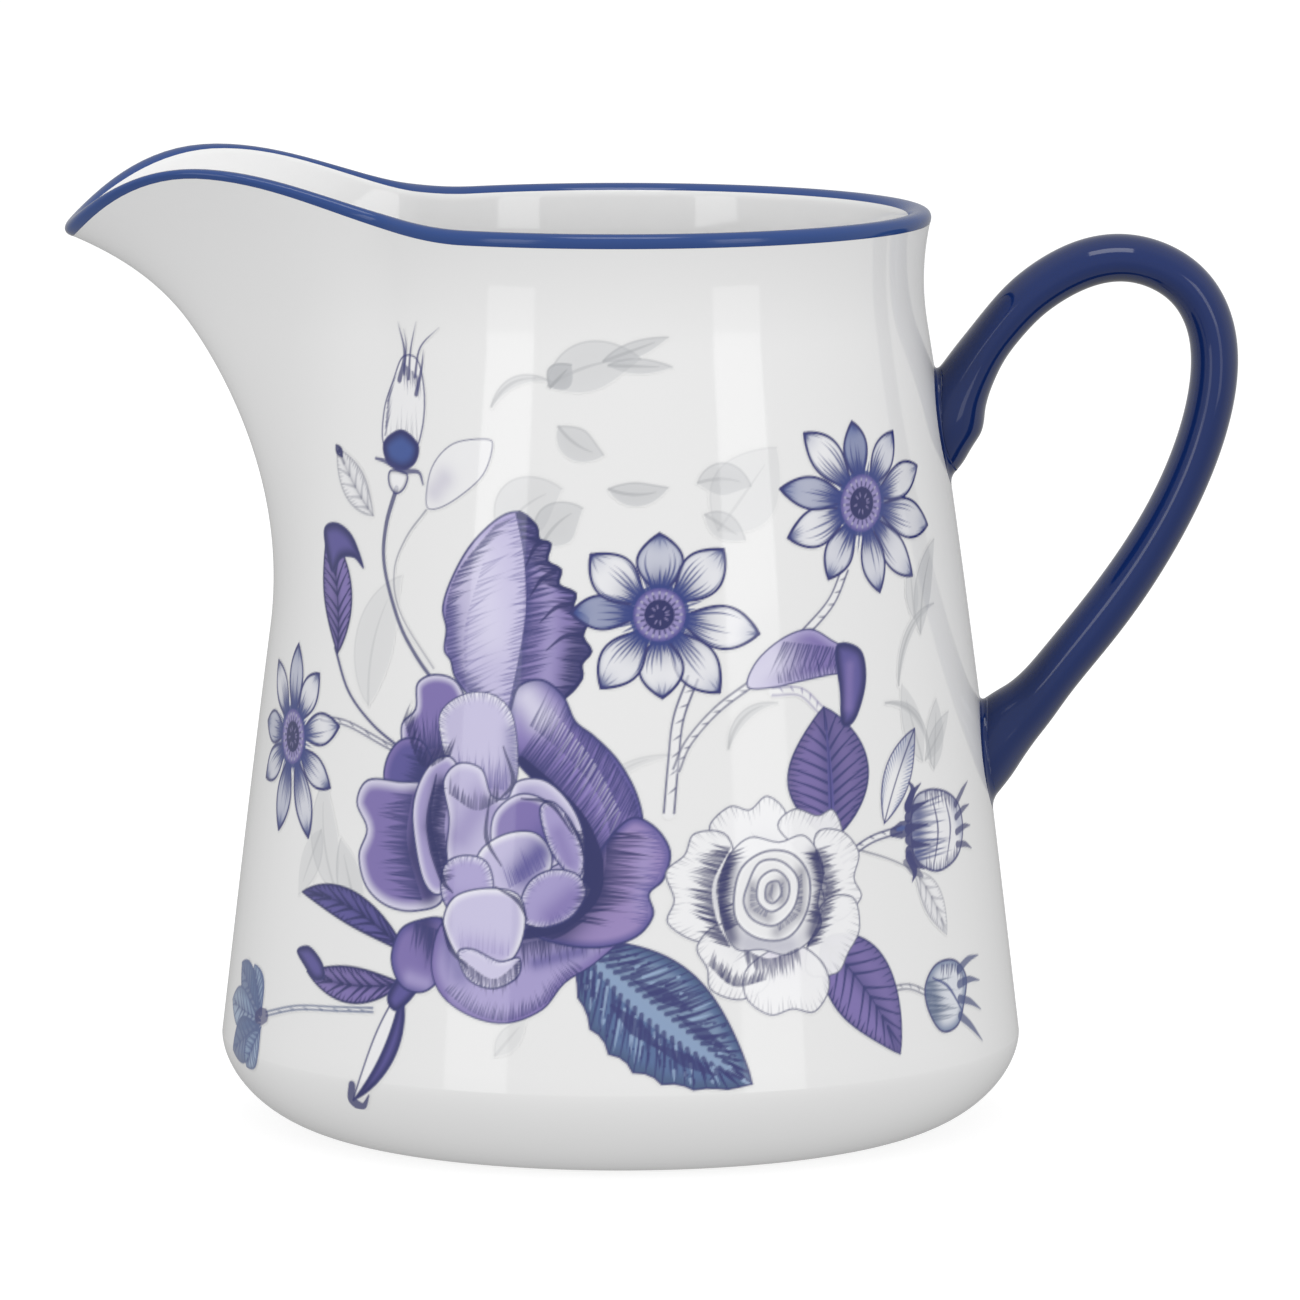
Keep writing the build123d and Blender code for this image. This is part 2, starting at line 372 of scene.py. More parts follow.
def uneven_glaze(made, scale, low, high, ripple):
    """Gives a glaze a slightly wavy surface: its roughness drifts from low to high, with a faint bump."""
    nodes, links = made.node_tree.nodes, made.node_tree.links
    shader = nodes["Principled BSDF"]
    noise = nodes.new("ShaderNodeTexNoise")
    noise.inputs["Scale"].default_value = scale
    noise.inputs["Detail"].default_value = 2.0
    links.new(nodes.new("ShaderNodeTexCoord").outputs["Object"], noise.inputs["Vector"])
    spread = nodes.new("ShaderNodeMapRange")
    spread.inputs["To Min"].default_value = low
    spread.inputs["To Max"].default_value = high
    links.new(noise.outputs["Fac"], spread.inputs["Value"])
    links.new(spread.outputs["Result"], shader.inputs["Roughness"])
    bump = nodes.new("ShaderNodeBump")
    bump.inputs["Strength"].default_value = ripple
    bump.inputs["Distance"].default_value = ripple_height
    links.new(noise.outputs["Fac"], bump.inputs["Height"])
    links.new(bump.outputs["Normal"], shader.inputs["Normal"])


ripple_height = 0.2 * MM
porcelain_color = (0.80, 0.80, 0.80)
glaze_roughness = 0.06
porcelain = material("porcelain_glaze", porcelain_color, glaze_roughness)
enamel = material("blue_enamel", (0.020, 0.060, 0.22), 0.12)
cobalt = material("cobalt_glaze", (0.0035, 0.0135, 0.074), glaze_roughness)
dark_glaze_shine = 0.36
for glaze in (enamel, cobalt):
    glaze.node_tree.nodes["Principled BSDF"].inputs["Specular IOR Level"].default_value = dark_glaze_shine
bisque = material("bisque", (0.70, 0.69, 0.67), 0.75)
uneven_glaze(porcelain, 90, 0.045, 0.085, 0.05)
uneven_glaze(enamel, 220, 0.08, 0.20, 0.12)
uneven_glaze(cobalt, 120, 0.04, 0.10, 0.10)
uneven_glaze(bisque, 900, 0.65, 0.90, 0.5)

# The ring that the jug stands on is left unglazed
flat_of_foot = 0.1 * MM
body.data.materials.append(porcelain)
body.data.materials.append(bisque)
for polygon in body.data.polygons:
    r = np.hypot(polygon.center.x - axis_x, polygon.center.y) / MM
    if polygon.center.z < flat_of_foot and r > foot_ring_inner:
        polygon.material_index = 1
rim.data.materials.append(enamel)
for piece in (handle, upper_slip, lower_slip):
    piece.data.materials.append(cobalt)

for piece, node, slot in (
        (body, "body", "white_glazed_porcelain"), (rim, "rim_band", "blue_rim_enamel"),
        (handle, "handle", "cobalt_glaze"), (upper_slip, "upper_luting_joint", "cobalt_glaze_slip"),
        (lower_slip, "lower_luting_joint", "cobalt_glaze_slip")):
    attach(piece, "root")
    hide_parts(node)

# ---------------------------------------------------------------- the flower print
# Drawn in millimetres on the unrolled wall: u = phi times the wall's radius there, and z. It is painted on
# a fine grid of points that follows the wall, each with an ink colour and how much of the glaze it covers.
rng = np.random.default_rng(11)
film_edge = radians(80)
film_bottom, film_top = 6.0, 81.5
film_columns, film_rows = 777, 581
film_phi = np.linspace(-film_edge, film_edge, film_columns)
film_z = np.linspace(film_bottom, film_top, film_rows)
film_lift = 0.02            # the print stands this far off the body's glaze
art_u = film_phi[None, :] * side_radius(film_z)[:, None]
art_z = np.repeat(film_z[:, None], len(film_phi), 1)
ink = np.zeros(art_u.shape + (3,))
cover = np.zeros(art_u.shape)
soft = 0.13                 # width of a drawn edge


def tone(r, g, b):
    """Linear colour of an sRGB one."""
    c = np.array([r, g, b]) / 255
    return np.where(c <= 0.04045, c / 12.92, ((c + 0.055) / 1.055) ** 2.4)


navy, deep, purple, violet = tone(48, 52, 112), tone(36, 40, 98), tone(124, 110, 172), tone(88, 82, 150)
lilac, pale, mauve, white = tone(164, 154, 202), tone(214, 211, 231), tone(150, 132, 186), tone(236, 236, 240)
star_blue, steel, sky, grey = tone(60, 84, 150), tone(84, 108, 152), tone(142, 164, 194), tone(122, 124, 142)
star_dark = tone(44, 60, 128)
# pale grey of the painted show-through shade: the far wall's print seen through the porcelain
show_through_shade = tone(176, 178, 182)


def window(points, margin):
    low, high = points.min(0) - margin, points.max(0) + margin
    radii = side_radius(np.array([max(low[1], 0.5), max(high[1], 0.5)]))
    phis = np.concatenate([low[0] / radii, high[0] / radii])
    rows = np.clip(np.searchsorted(film_z, (low[1], high[1])), 0, len(film_z))
    cols = np.clip(np.searchsorted(film_phi, (phis.min(), phis.max())), 0, len(film_phi))
    return slice(rows[0], rows[1]), slice(cols[0], cols[1])


def nearest(line, w):
    """Distance of the window's points from a line, and the nearest place along it from 0 to 1."""
    a, d = line[:-1], line[1:] - line[:-1]
    du, dz = art_u[w][..., None] - a[:, 0], art_z[w][..., None] - a[:, 1]
    t = np.clip((du * d[:, 0] + dz * d[:, 1]) / np.maximum((d ** 2).sum(1), 1e-9), 0, 1)
    gap = (du - t * d[:, 0]) ** 2 + (dz - t * d[:, 1]) ** 2
    k = gap.argmin(-1)[..., None]
    return (np.sqrt(np.take_along_axis(gap, k, -1)[..., 0]),
            (k + np.take_along_axis(t, k, -1))[..., 0] / len(d))


def inside(outline, w):
    u, z = art_u[w], art_z[w]
    odd = np.zeros(u.shape, bool)
    for (u0, z0), (u1, z1) in zip(outline, np.roll(outline, -1, 0)):
        if z0 != z1:
            odd ^= ((z0 > z) != (z1 > z)) & (u < (u1 - u0) * (z - z0) / (z1 - z0) + u0)
    return odd


def lay(w, color, alpha):
    ink[w] = color * alpha[..., None] + ink[w] * (1 - alpha[..., None])
    cover[w] = alpha + cover[w] * (1 - alpha)


def curve(points, steps=8):
    return smooth_through(np.array(points, float), steps)


def loop(points, steps=6):
    """Smooth closed outline through the points."""
    p = np.array(points, float)
    t = np.linspace(0, 1, steps, endpoint=False)[:, None]
    fours = zip(np.roll(p, 1, 0), p, np.roll(p, -1, 0), np.roll(p, -2, 0))
    return np.vstack([between(*four, t) for four in fours])


def stroke(line, width, color, alpha=1.0, within=None):
    """A drawn line; width is its full width at the start, middle and end."""
    line = np.asarray(line, float)
    w = window(line, max(width) / 2 + soft)
    if w[0].start >= w[0].stop or w[1].start >= w[1].stop:
        return
    gap, along = nearest(line, w)
    half = np.interp(along, (0, 0.5, 1), width) / 2
    a = np.clip((half - gap) / soft + 0.5, 0, 1) * np.clip(half / (soft / 2), 0, 1) * alpha
    if within is not None:
        a = a * within[w]
    lay(w, color, a)


def fill(outline, edge_color, inner_color, depth, alpha=1.0, shades=()):
    """Fills an outline, running from its edge colour to its inner one over a depth. Each shade is
    (line, color, reach, strength), a darker or lighter glow along a line. Returns the outline's mask."""
    w = window(outline, soft)
    gap, _ = nearest(np.vstack([outline, outline[:1]]), w)
    signed = np.where(inside(outline, w), gap, -gap)
    mix = np.clip(signed / depth, 0, 1)[..., None]
    mix = mix * mix * (3 - 2 * mix)
    color = edge_color * (1 - mix) + inner_color * mix
    for line, shade, reach, strength in shades:
        near, _ = nearest(np.asarray(line, float), w)
        s = (strength * np.exp(-(near / reach) ** 2))[..., None]
        color = color * (1 - s) + shade * s
    mask = np.zeros(cover.shape)
    mask[w] = np.clip(signed / soft + 0.5, 0, 1)
    lay(w, color, mask[w] * alpha)
    return mask


def hatch(line, toward, length, gap, width, color, alpha=0.8, spread=0.15, within=None):
    """Fine engraved strokes from a line towards a point, or along a direction if toward is (du, dz, 0).
    A list of three points or more is first smoothed."""
    line = curve(line) if isinstance(line, list) and len(line) > 2 else np.asarray(line, float)
    run = np.concatenate([[0], np.cumsum(np.hypot(*np.diff(line, axis=0).T))])
    for at in np.arange(gap / 2, run[-1], gap):
        at = at + rng.uniform(-0.3, 0.3) * gap
        start = np.array([np.interp(at, run, line[:, 0]), np.interp(at, run, line[:, 1])])
        way = np.array(toward[:2], float) if len(toward) == 3 else np.array(toward, float) - start
        way = way / np.hypot(*way)
        angle = rng.normal(0, spread * 0.5)
        way = np.array([way[0] * cos(angle) - way[1] * sin(angle), way[0] * sin(angle) + way[1] * cos(angle)])
        size = length * rng.uniform(0.55, 1.15)
        t = np.linspace(0, 1, 5)[:, None]
        strength = alpha * rng.uniform(0.6, 1.0)
        stroke(start + way * size * t, (width, width * 0.7, 0.02), color, strength, within)


def leaf_shape(base, tip, width, bend=0.0, belly=0.45):
    """Spine and edges of a leaf: 25 points each, from base to tip."""
    base, tip = np.array(base, float), np.array(tip, float)
    s = np.linspace(0, 1, 25)
    way = tip - base
    side = np.array([-way[1], way[0]])
    spine = base + s[:, None] * way + (bend * 4 * s * (1 - s))[:, None] * side
    along = np.gradient(spine, axis=0)
    along /= np.linalg.norm(along, axis=1, keepdims=True)
    normal = np.stack([-along[:, 1], along[:, 0]], 1)
    power = np.log(0.5) / np.log(belly)
    half = width / 2 * np.sin(pi * s ** power) ** 0.85
    return spine, spine + normal * half[:, None], spine - normal * half[:, None]


def leaf(base, tip, width, bend=0.0, light=purple, dark=navy, belly=0.42, veins=9, alpha=1.0, lit_side=1,
         outline=0.26, midrib=None):
    spine, left, right = leaf_shape(base, tip, width, bend, belly)
    shape = np.vstack([left, right[::-1]])
    mask = fill(shape, light * 0.8, light, width * 0.12, alpha, [(spine, dark, width * 0.10, 0.5)])
    shaded = right if lit_side > 0 else left
    fill(np.vstack([spine, shaded[::-1]]), dark * 0.5 + light * 0.5, light * 0.85, width * 0.3, alpha * 0.55)
    for i in range(veins):
        s = 1 + int((i + 0.5) * 20 / veins)
        for edge in (left, right):
            end = edge[min(s + 4, 24)] * 0.96 + spine[min(s + 4, 24)] * 0.04
            bow = (spine[s] + end) / 2 + (spine[min(s + 1, 24)] - spine[s]) * 0.2
            stroke(curve([spine[s], bow, end], 4), (0.34, 0.24, 0.10), dark, 0.9 * alpha, mask)
    for edge, strength in ((left, 0.55), (right, 0.7)):
        for i in range(2, 23):
            inward = spine[max(i - 2, 0)] - edge[i]
            long_reach = (edge is shaded) == (strength > 0.6)
            reach = rng.uniform(0.25, 0.55) if long_reach else rng.uniform(0.15, 0.4)
            line = [edge[i], edge[i] + inward * reach]
            stroke(line, (0.24, 0.16, 0.04), dark, strength * 1.3 * alpha, mask)
    if midrib is not None:
        stroke(spine[:23], (width * 0.09, width * 0.06, 0.05), midrib, alpha)
    stroke(spine[:24], (0.2, 0.16, 0.05), dark, 0.9 * alpha)
    for edge in (left, right):
        stroke(edge, (outline, outline, outline * 0.8), dark, 0.9 * alpha)


def stem(points, width=0.5, color=navy, alpha=0.9, hollow=False):
    line = curve(points)
    if not hollow:
        stroke(line, (width, width * 0.8, width * 0.8), color, alpha)
        return
    along = np.gradient(line, axis=0)
    side = np.stack([-along[:, 1], along[:, 0]], 1) / np.linalg.norm(along, axis=1, keepdims=True)
    stroke(line, (width, width, width), white, 0.35)
    for sign in (1, -1):
        stroke(line + side * sign * width * 0.45, (0.26, 0.20, 0.24), color, alpha)
    for i in range(2, len(line) - 2, 3):
        rung = [line[i] + side[i] * width * 0.4, line[i + 1] - side[i] * width * 0.2]
        stroke(rung, (0.22, 0.16, 0.06), color, 0.75)


def star_flower(centre, petals, core, squeeze=1.0):
    """An open flower of pointed petals, each (angle in degrees, length, width, share of dark blue)."""
    c = np.array(centre, float)
    for angle, length, width, dark in petals:
        a = radians(angle)
        way = np.array([cos(a) * squeeze, sin(a)])
        base, tip = c + way * core * 0.7, c + way * length
        spine, left, right = leaf_shape(base, tip, width, rng.uniform(-0.03, 0.03), 0.55)
        shape = np.vstack([left, right[::-1]])
        body_tone = white * (1 - dark) + star_blue * dark
        mask = fill(shape, star_blue * 0.4 + body_tone * 0.6, body_tone, width * 0.16, 0.6 + 0.4 * dark,
                    [([base, base + (tip - base) * 0.16], star_dark, length * 0.20, 1.0),
                     ([tip, tip + (base - tip) * 0.06], star_blue, length * 0.13, 0.5 + 0.5 * dark)])
        for i in range(9):
            side = (i - 4) / 4.6
            edge = left if side > 0 else right
            reach = 9 + int(rng.integers(0, 11))
            line = [spine[j] + (edge[j] - spine[j]) * abs(side) for j in range(1, reach)]
            stroke(line, (0.30, 0.22, 0.04), star_dark, 0.85, mask)
            stop = 17 + int(rng.integers(0, 5))
            line = [spine[j] + (edge[j] - spine[j]) * abs(side) for j in range(24, stop, -1)]
            stroke(line, (0.22, 0.16, 0.04), star_dark, 0.6, mask)
        for edge in (left, right):
            stroke(edge, (0.30, 0.26, 0.32), navy, 1.0)
    turn = np.linspace(0, 2 * pi, 37)[:-1]
    ring = np.stack([np.cos(turn) * squeeze, np.sin(turn)], 1)
    for k in range(44):
        way = np.array([cos(k * pi / 22) * squeeze, sin(k * pi / 22)])
        stroke([c + way * core, c + way * core * rng.uniform(1.35, 1.8)], (0.30, 0.22, 0.05), star_dark, 0.85)
    fill(c + ring * core * 1.15, star_dark, star_dark, 0.3, 0.9)
    fill(c + ring * core, violet, lilac * 0.7 + violet * 0.3, core * 0.25, 1.0)
    for k in range(20):
        way = np.array([cos(k * pi / 10) * squeeze, sin(k * pi / 10)])
        stroke([c + way * core * 0.62, c + way * core * 0.98], (0.2, 0.16, 0.05), deep, 0.85)
        stroke([c + way * core * 0.8, c + way * core * 0.86], (0.16, 0.2, 0.16), pale, 0.55)
    fill(c + ring * core * 0.58, deep, deep, 0.2, 1.0)
    for k in range(9):
        way = np.array([cos(k * 2.4) * squeeze, sin(k * 2.4)]) * core * 0.42
        stroke([c + way * 0.6, c + way * 0.9], (0.14, 0.14, 0.1), lilac, 0.6)


def petal(points, edge, inner, depth=1.2, shade=None, outline=0.22, hatching=None, alpha=1.0, engraved=0.0,
          line_color=navy):
    """A rounded petal. Each shade is as fill() takes it. Each row of hatching holds hatch()'s arguments up to
    its color, then its alpha and spread if they differ from the usual. Returns the petal's mask."""
    shape = loop(points)
    mask = fill(shape, edge, inner, depth, alpha, shade or ())
    if engraved:
        closed = np.vstack([shape, shape[:1]])
        hatch(closed, tuple(shape.mean(0)), engraved, 0.34, 0.17, violet, 0.75, within=mask)
    for strokes in hatching or ():
        hatch(*strokes, within=mask)
    stroke(np.vstack([shape, shape[:1]]), (outline, outline, outline), line_color, 0.9)
    return mask


# Pale grey painted shade: the far wall's print showing through the translucent porcelain, painted on as faint
# leaves
# one leaf of painted show-through shade, pale grey
def painted_show_through_leaf(base, tip, width, strength, bend):
    spine, left, right = leaf_shape(base, tip, width, bend)
    fill(np.vstack([left, right[::-1]]), show_through_shade * 1.06, show_through_shade, width * 0.3, strength)
    stroke(spine[:20], (0.3, 0.3, 0.1), show_through_shade * 0.85, strength)
    stroke(left, (0.2, 0.2, 0.2), show_through_shade * 0.85, strength * 0.9)


for base, tip, width, strength, bend in (
        ((-6.8, 75.6), (2, 78.2), 4.6, 0.24, 0.08), ((-6.6, 75.5), (-4.6, 77.6), 2.6, 0.45, 0),
        ((-1.5, 78), (4.6, 80.2), 1.5, 0.3, 0), ((-1, 77.6), (5, 77.4), 1.4, 0.3, 0),
        ((-5.8, 71.8), (-1.5, 69.2), 3, 0.3, -0.1), ((-12.5, 73.5), (-6.5, 76), 0.9, 0.25, 0.2),
        ((-11.5, 61.5), (-5.5, 66), 5.5, 0.2, 0.1), ((-7.5, 60.5), (-3.5, 64.2), 4, 0.3, 0.1),
        ((-1, 66), (4.6, 66.1), 2.2, 0.34, -0.1), ((7.5, 66.5), (12.8, 66), 3, 0.26, 0.1),
        ((9.5, 62), (15.5, 69.5), 7, 0.14, 0), ((8.2, 63.5), (12.2, 61), 2.4, 0.24, 0),
        ((34.5, 50.5), (38.5, 59), 3.2, 0.3, 0.1), ((33.5, 52), (33, 57.5), 2.2, 0.24, 0),
        ((30.5, 46), (37.5, 53), 1, 0.3, 0.2), ((34, 38.5), (31, 46), 3, 0.22, 0),
        ((36, 37.5), (37, 44), 3.4, 0.26, 0), ((34.5, 38.5), (39.5, 42.5), 2.2, 0.24, 0),
        ((28.5, 44.5), (35.5, 38), 0.8, 0.28, 0.2), ((-30.5, 26.5), (-32.5, 37), 4.2, 0.2, 0.1),
        ((-27.5, 24.5), (-30, 31.5), 3.4, 0.24, 0), ((-26.5, 44.5), (-22.5, 57), 5, 0.16, 0.1),
        ((-33, 32), (-36.5, 25.5), 3, 0.18, 0), ((10.5, 41.5), (15.5, 45.5), 1, 0.24, 0.2),
        ((-12, 12.5), (-9, 16), 2, 0.14, 0), ((-3.5, 33.5), (5.5, 41), 1, 0.16, 0.2)):
    painted_show_through_leaf(base, tip, width, strength * 1.6, bend)

# Stems
stem([(-23.3, 65.2), (-24.6, 61.5), (-24.7, 57.8), (-22.8, 52.8), (-20.6, 49.6), (-18.2, 47)], 0.55,
    navy * 0.8 + grey * 0.2)
stem([(-19.6, 63.4), (-22, 60.6), (-23.4, 57.4), (-22.6, 53.6), (-18.6, 48.6)], 0.22, grey, 0.7)
stem([(-31.6, 49.4), (-29.4, 45.6), (-26, 42.8), (-22.4, 40.8)], 0.42, navy)
stem([(-33.6, 42.6), (-29, 42.4), (-23, 40.6)], 0.5, grey * 0.5 + navy * 0.5, 0.8, True)
stem([(7, 48.2), (5.6, 44.4), (5.1, 40.2), (4.7, 35.6)], 1.1, navy * 0.6 + grey * 0.4, 0.9, True)
stem([(13, 47.6), (9.4, 45.2), (6.6, 42.2), (5.4, 39.6)], 0.7, navy * 0.4 + grey * 0.6, 0.75, True)
stem([(23.4, 57.6), (21.6, 54.6), (18.4, 51.8)], 0.9, navy * 0.6 + grey * 0.4, 0.85, True)
stem([(15, 46.6), (18, 46.4), (20.2, 44.6)], 0.8, lilac * 0.5 + grey * 0.5, 0.6, True)
stem([(22.6, 30.2), (26.2, 31.8), (30.4, 32.4)], 0.7, navy * 0.8 + grey * 0.2, 0.9, True)
stem([(24.6, 31), (28.4, 29.8), (32.4, 28.2)], 0.24, grey, 0.8)
stem([(-25.4, 15.8), (-30, 15.4), (-36, 14.8), (-42, 13.4)], 0.42, steel * 0.5 + grey * 0.5, 0.85, True)
stem([(27.6, 17.4), (31, 17.4), (34.2, 16.2)], 0.5, grey, 0.8, True)

# Bud, pod and half-open bud at the upper left
petal([(-25, 69), (-25.2, 72.4), (-24, 75.4), (-22.8, 77.6), (-20.9, 77.4), (-20, 74.4), (-20.2, 71),
    (-21.4, 68.8)], white, white, 1, None, 0.18, [([(-24.8, 69.6), (-20.6, 69.6)], (0, 1, 0), 3.4, 0.42,
    0.14, grey), ([(-25, 70), (-24.6, 75)], (-21.5, 80), 2.4, 0.4, 0.2, navy),
    ([(-22.8, 77), (-20.4, 75.6)], (0.1, -1, 0), 2.6, 0.3, 0.22, navy)], 0.4)
for line, width in (
        (((-23.2, 75.4), (-22.6, 78), (-23.6, 80.8)), 0.6),
        (((-22, 75.6), (-21.8, 78.4), (-21.2, 81)), 0.36),
        (((-21.2, 75.8), (-20.6, 78.6), (-18.4, 80.6)), 0.34),
        (((-22.6, 76), (-22.4, 78.6), (-22.8, 80.2)), 0.3),
        (((-21, 74.2), (-20.4, 76.6), (-20.2, 78.4)), 0.5)):
    stroke(curve(line), (width, width * 0.6, 0.06), navy, 0.85)
petal([(-25.1, 69.4), (-24.6, 67.6), (-22.6, 67), (-21, 67.8), (-20.7, 69.5), (-22.8, 70.7)], deep,
    star_blue, 1.2, None, 0.2)
stroke(curve([(-26.2, 67.8), (-24.8, 67.6), (-22.6, 66.9), (-20.6, 66.9), (-20, 65.8)]), (0.3, 0.6, 0.2),
    navy, 0.85)
petal([(-24.1, 66.8), (-24.3, 65.6), (-23.4, 64.7), (-22.3, 65.3), (-22, 66.6)], grey, white, 0.5, None,
    0.2, None, 0.6)
leaf((-26.4, 62.4), (-31.6, 68.4), 3.4, 0.05, white * 0.96, grey, 0.5, 5, 0.5, 1, 0.2)
leaf((-31, 67.6), (-31.8, 68.6), 0.8, 0, navy, deep, 0.5, 1, 0.8)
petal([(-19.6, 64), (-19, 67.4), (-16.6, 69.8), (-13, 70.4), (-12.4, 69.6), (-13.4, 67), (-16, 64.8),
    (-18.4, 63.6)], white, white, 1, [([(-18.6, 65.2), (-17.6, 66.4)], lilac * 0.8, 1.2, 0.8)], 0.12, None,
    0.4)

# Folded leaf and open flower at the left edge
leaf((-31.2, 49), (-33.4, 60.6), 4.6, -0.06, purple, deep, 0.5, 9, 1, -1)
petal([(-34, 60.2), (-32, 61.2), (-29.4, 60.2), (-27.6, 57.4), (-29, 58.2), (-31, 58), (-32.6, 56.6)], deep,
    violet, 1.2, None, 0.2)
star_flower((-39, 40.2), ((88, 8.8, 3, 0.5), (52, 8.2, 3, 0.15), (12, 9, 3, 0.1), (-28, 8.6, 2.8, 0.25),
    (-66, 10, 3, 0.3), (-104, 9.4, 3, 0.5), (-146, 8.4, 3, 0.3), (176, 8, 3, 0.5), (130, 8.6, 3, 0.2)), 2.6,
    0.95)

# Profile flower and its narrow leaves at the lower left
for base, tip, width, light in (
        ((-43, 13.2), (-45.4, 17.6), 3.4, sky), ((-43.2, 13), (-49.6, 17.2), 4.2, steel),
        ((-43.2, 12.6), (-52.6, 13.2), 4, sky), ((-43.2, 12.2), (-50.8, 8.6), 4.4, steel),
        ((-43, 12), (-46.6, 7.6), 3.4, sky)):
    leaf(base, tip, width, 0, light, steel * 0.6 + navy * 0.4, 0.6, 7, 0.9, 1, 0.2)
stroke([(-42.2, 13.2), (-44, 12.8)], (1.4, 1.8, 1.2), navy, 0.8)
leaf((-21.6, 21.6), (-35.8, 25.8), 3.2, -0.1, violet, deep, 0.5, 8, 1, 1)
leaf((-22, 18.6), (-34.6, 18.4), 3.4, 0.05, purple, deep, 0.5, 8, 1, 1)
petal([(-32.4, 19.6), (-34.4, 20.8), (-36.4, 20.2), (-35.2, 19), (-33.4, 17.8), (-32, 18.2)], deep, violet,
    0.9, None, 0.16)
spine, left, right = leaf_shape((-22, 18), (-27.8, 6.9), 2.9, 0.07, 0.45)
fill(np.vstack([left, right[::-1]]), white, white, 0.5, 0.6)
fill(np.vstack([spine, left[::-1]]), deep, violet, 0.9, 1)
for edge in (left, right, spine):
    stroke(edge, (0.2, 0.2, 0.2), navy, 0.9)
stroke(curve([(-27.9, 8.4), (-28, 6.9), (-26.6, 6.4), (-25.8, 7.6)]), (0.9, 1, 0.2), navy, 0.9)
petal([(-23.6, 17.2), (-21.8, 19.6), (-19.8, 19.4), (-20.6, 17.6), (-22.6, 16)], deep, violet, 0.9, None,
    0.2)

# Steel-blue leaf under the big flower
spine, left, right = leaf_shape((-4, 23.4), (12.8, 9.8), 10.4, -0.03, 0.46)
saw = right + (np.arange(25) % 3 == 1)[:, None] * (right - spine) * 0.09
leaf_mask = fill(np.vstack([left, saw[::-1]]), steel * 0.7, steel, 1.4, 1)
fill(np.vstack([spine, (left * 0.9 + spine * 0.1)[::-1]]), steel * 0.9, sky * 0.85, 1.2, 0.7)
fill(np.vstack([spine * 0.85 + left * 0.15, (spine * 0.8 + saw * 0.2)[::-1]]), sky, sky * 1.1, 0.5, 0.75)
for i in range(1, 22):
    for edge, reach in ((left, 0.98), (saw, 0.98)):
        start = spine[i] * 0.86 + edge[i] * 0.14
        end = edge[min(i + 3, 24)] * reach + spine[min(i + 3, 24)] * (1 - reach)
        stroke([start, (start + end) / 2 + (spine[i] - spine[i - 1]) * 0.2, end], (0.46, 0.3, 0.12), navy,
            0.8, leaf_mask)
        for _ in range(4):
            slide = rng.uniform(-0.9, 0.9) * (spine[min(i + 1, 24)] - spine[i])
            a, b = sorted(rng.uniform(0.1, 1, 2))
            line = [start + (end - start) * a + slide, start + (end - start) * b + slide]
            stroke(line, (0.3, 0.22, 0.06), navy if rng.random() < 0.72 else sky * 1.15, 0.75, leaf_mask)
for a, b, width in ((0.3, 0.62, 1.6), (0.55, 0.85, 1.3)):
    i, j = (int(a * 24), int(b * 24))
    stroke([spine[i] * 0.6 + saw[i] * 0.4, spine[j] * 0.55 + saw[j] * 0.45], (0.3, width, 0.2), navy, 0.8,
        leaf_mask)
    stroke([spine[i] * 0.75 + left[i] * 0.25, spine[j] * 0.5 + left[j] * 0.5], (0.2, width * 0.9, 0.2),
        navy, 0.8, leaf_mask)
for edge in (left, saw):
    stroke(edge, (0.24, 0.22, 0.22), navy, 0.9)

# Leaves at the right
leaf((20.2, 22.8), (29.6, 11.2), 7.2, 0.05, purple, navy, 0.42, 9, 1, -1, 0.22)
leaf((21.4, 32.2), (20.6, 44.8), 9.4, -0.02, purple * 0.9, navy, 0.48, 10, 1, 1, 0.24, violet)
petal([(12.4, 47.2), (13.4, 49.6), (16.2, 51.6), (19.2, 52.2), (22, 50.8), (25, 49.4), (25.4, 47.6),
    (22, 47.8), (18, 47.4), (15, 47)], lilac, purple, 1, [([(12.6, 47.4), (15, 49.6)], pale, 2.6, 0.9)],
    0.18, [([(16, 51.2), (23.5, 50)], (-0.5, -1, 0), 3.4, 0.32, 0.2, navy), ([(15.5, 47.4), (22.5, 48)],
    (-0.2, 1, 0), 2.2, 0.34, 0.18, navy)])
petal([(22.2, 50.4), (25.2, 49.8), (25.8, 46.8), (24.4, 43.4), (22.8, 43), (22.6, 46)], deep, violet, 1.1,
    [([(23.8, 48.4), (23.6, 44.6)], purple, 0.6, 0.8)], 0.2)
spine, left, right = leaf_shape((28, 33.2), (32.8, 41.6), 3.8, 0.04, 0.5)
leaf_mask = fill(np.vstack([left, right[::-1]]), white, white, 0.5, 0.5,
    [([spine[18], spine[24]], star_blue, 1.5, 0.9)])
for i in range(2, 22):
    stroke([left[i], spine[max(i - 4, 0)] * 0.6 + left[i] * 0.4], (0.18, 0.12, 0.02), star_blue, 0.8,
        leaf_mask)
    stroke([right[i], spine[max(i - 4, 0)] * 0.7 + right[i] * 0.3], (0.18, 0.12, 0.02), star_blue, 0.8,
        leaf_mask)
for edge in (left, right, spine):
    stroke(edge, (0.18, 0.18, 0.22), navy, 0.9)
leaf((32.2, 28.2), (37.2, 21.6), 3, 0.05, white, grey, 0.5, 5, 0.45, 1, 0.14)
stroke([(30.8, 29.2), (33.4, 27.6)], (0.6, 1.3, 0.3), navy * 0.5 + grey * 0.5, 0.8)

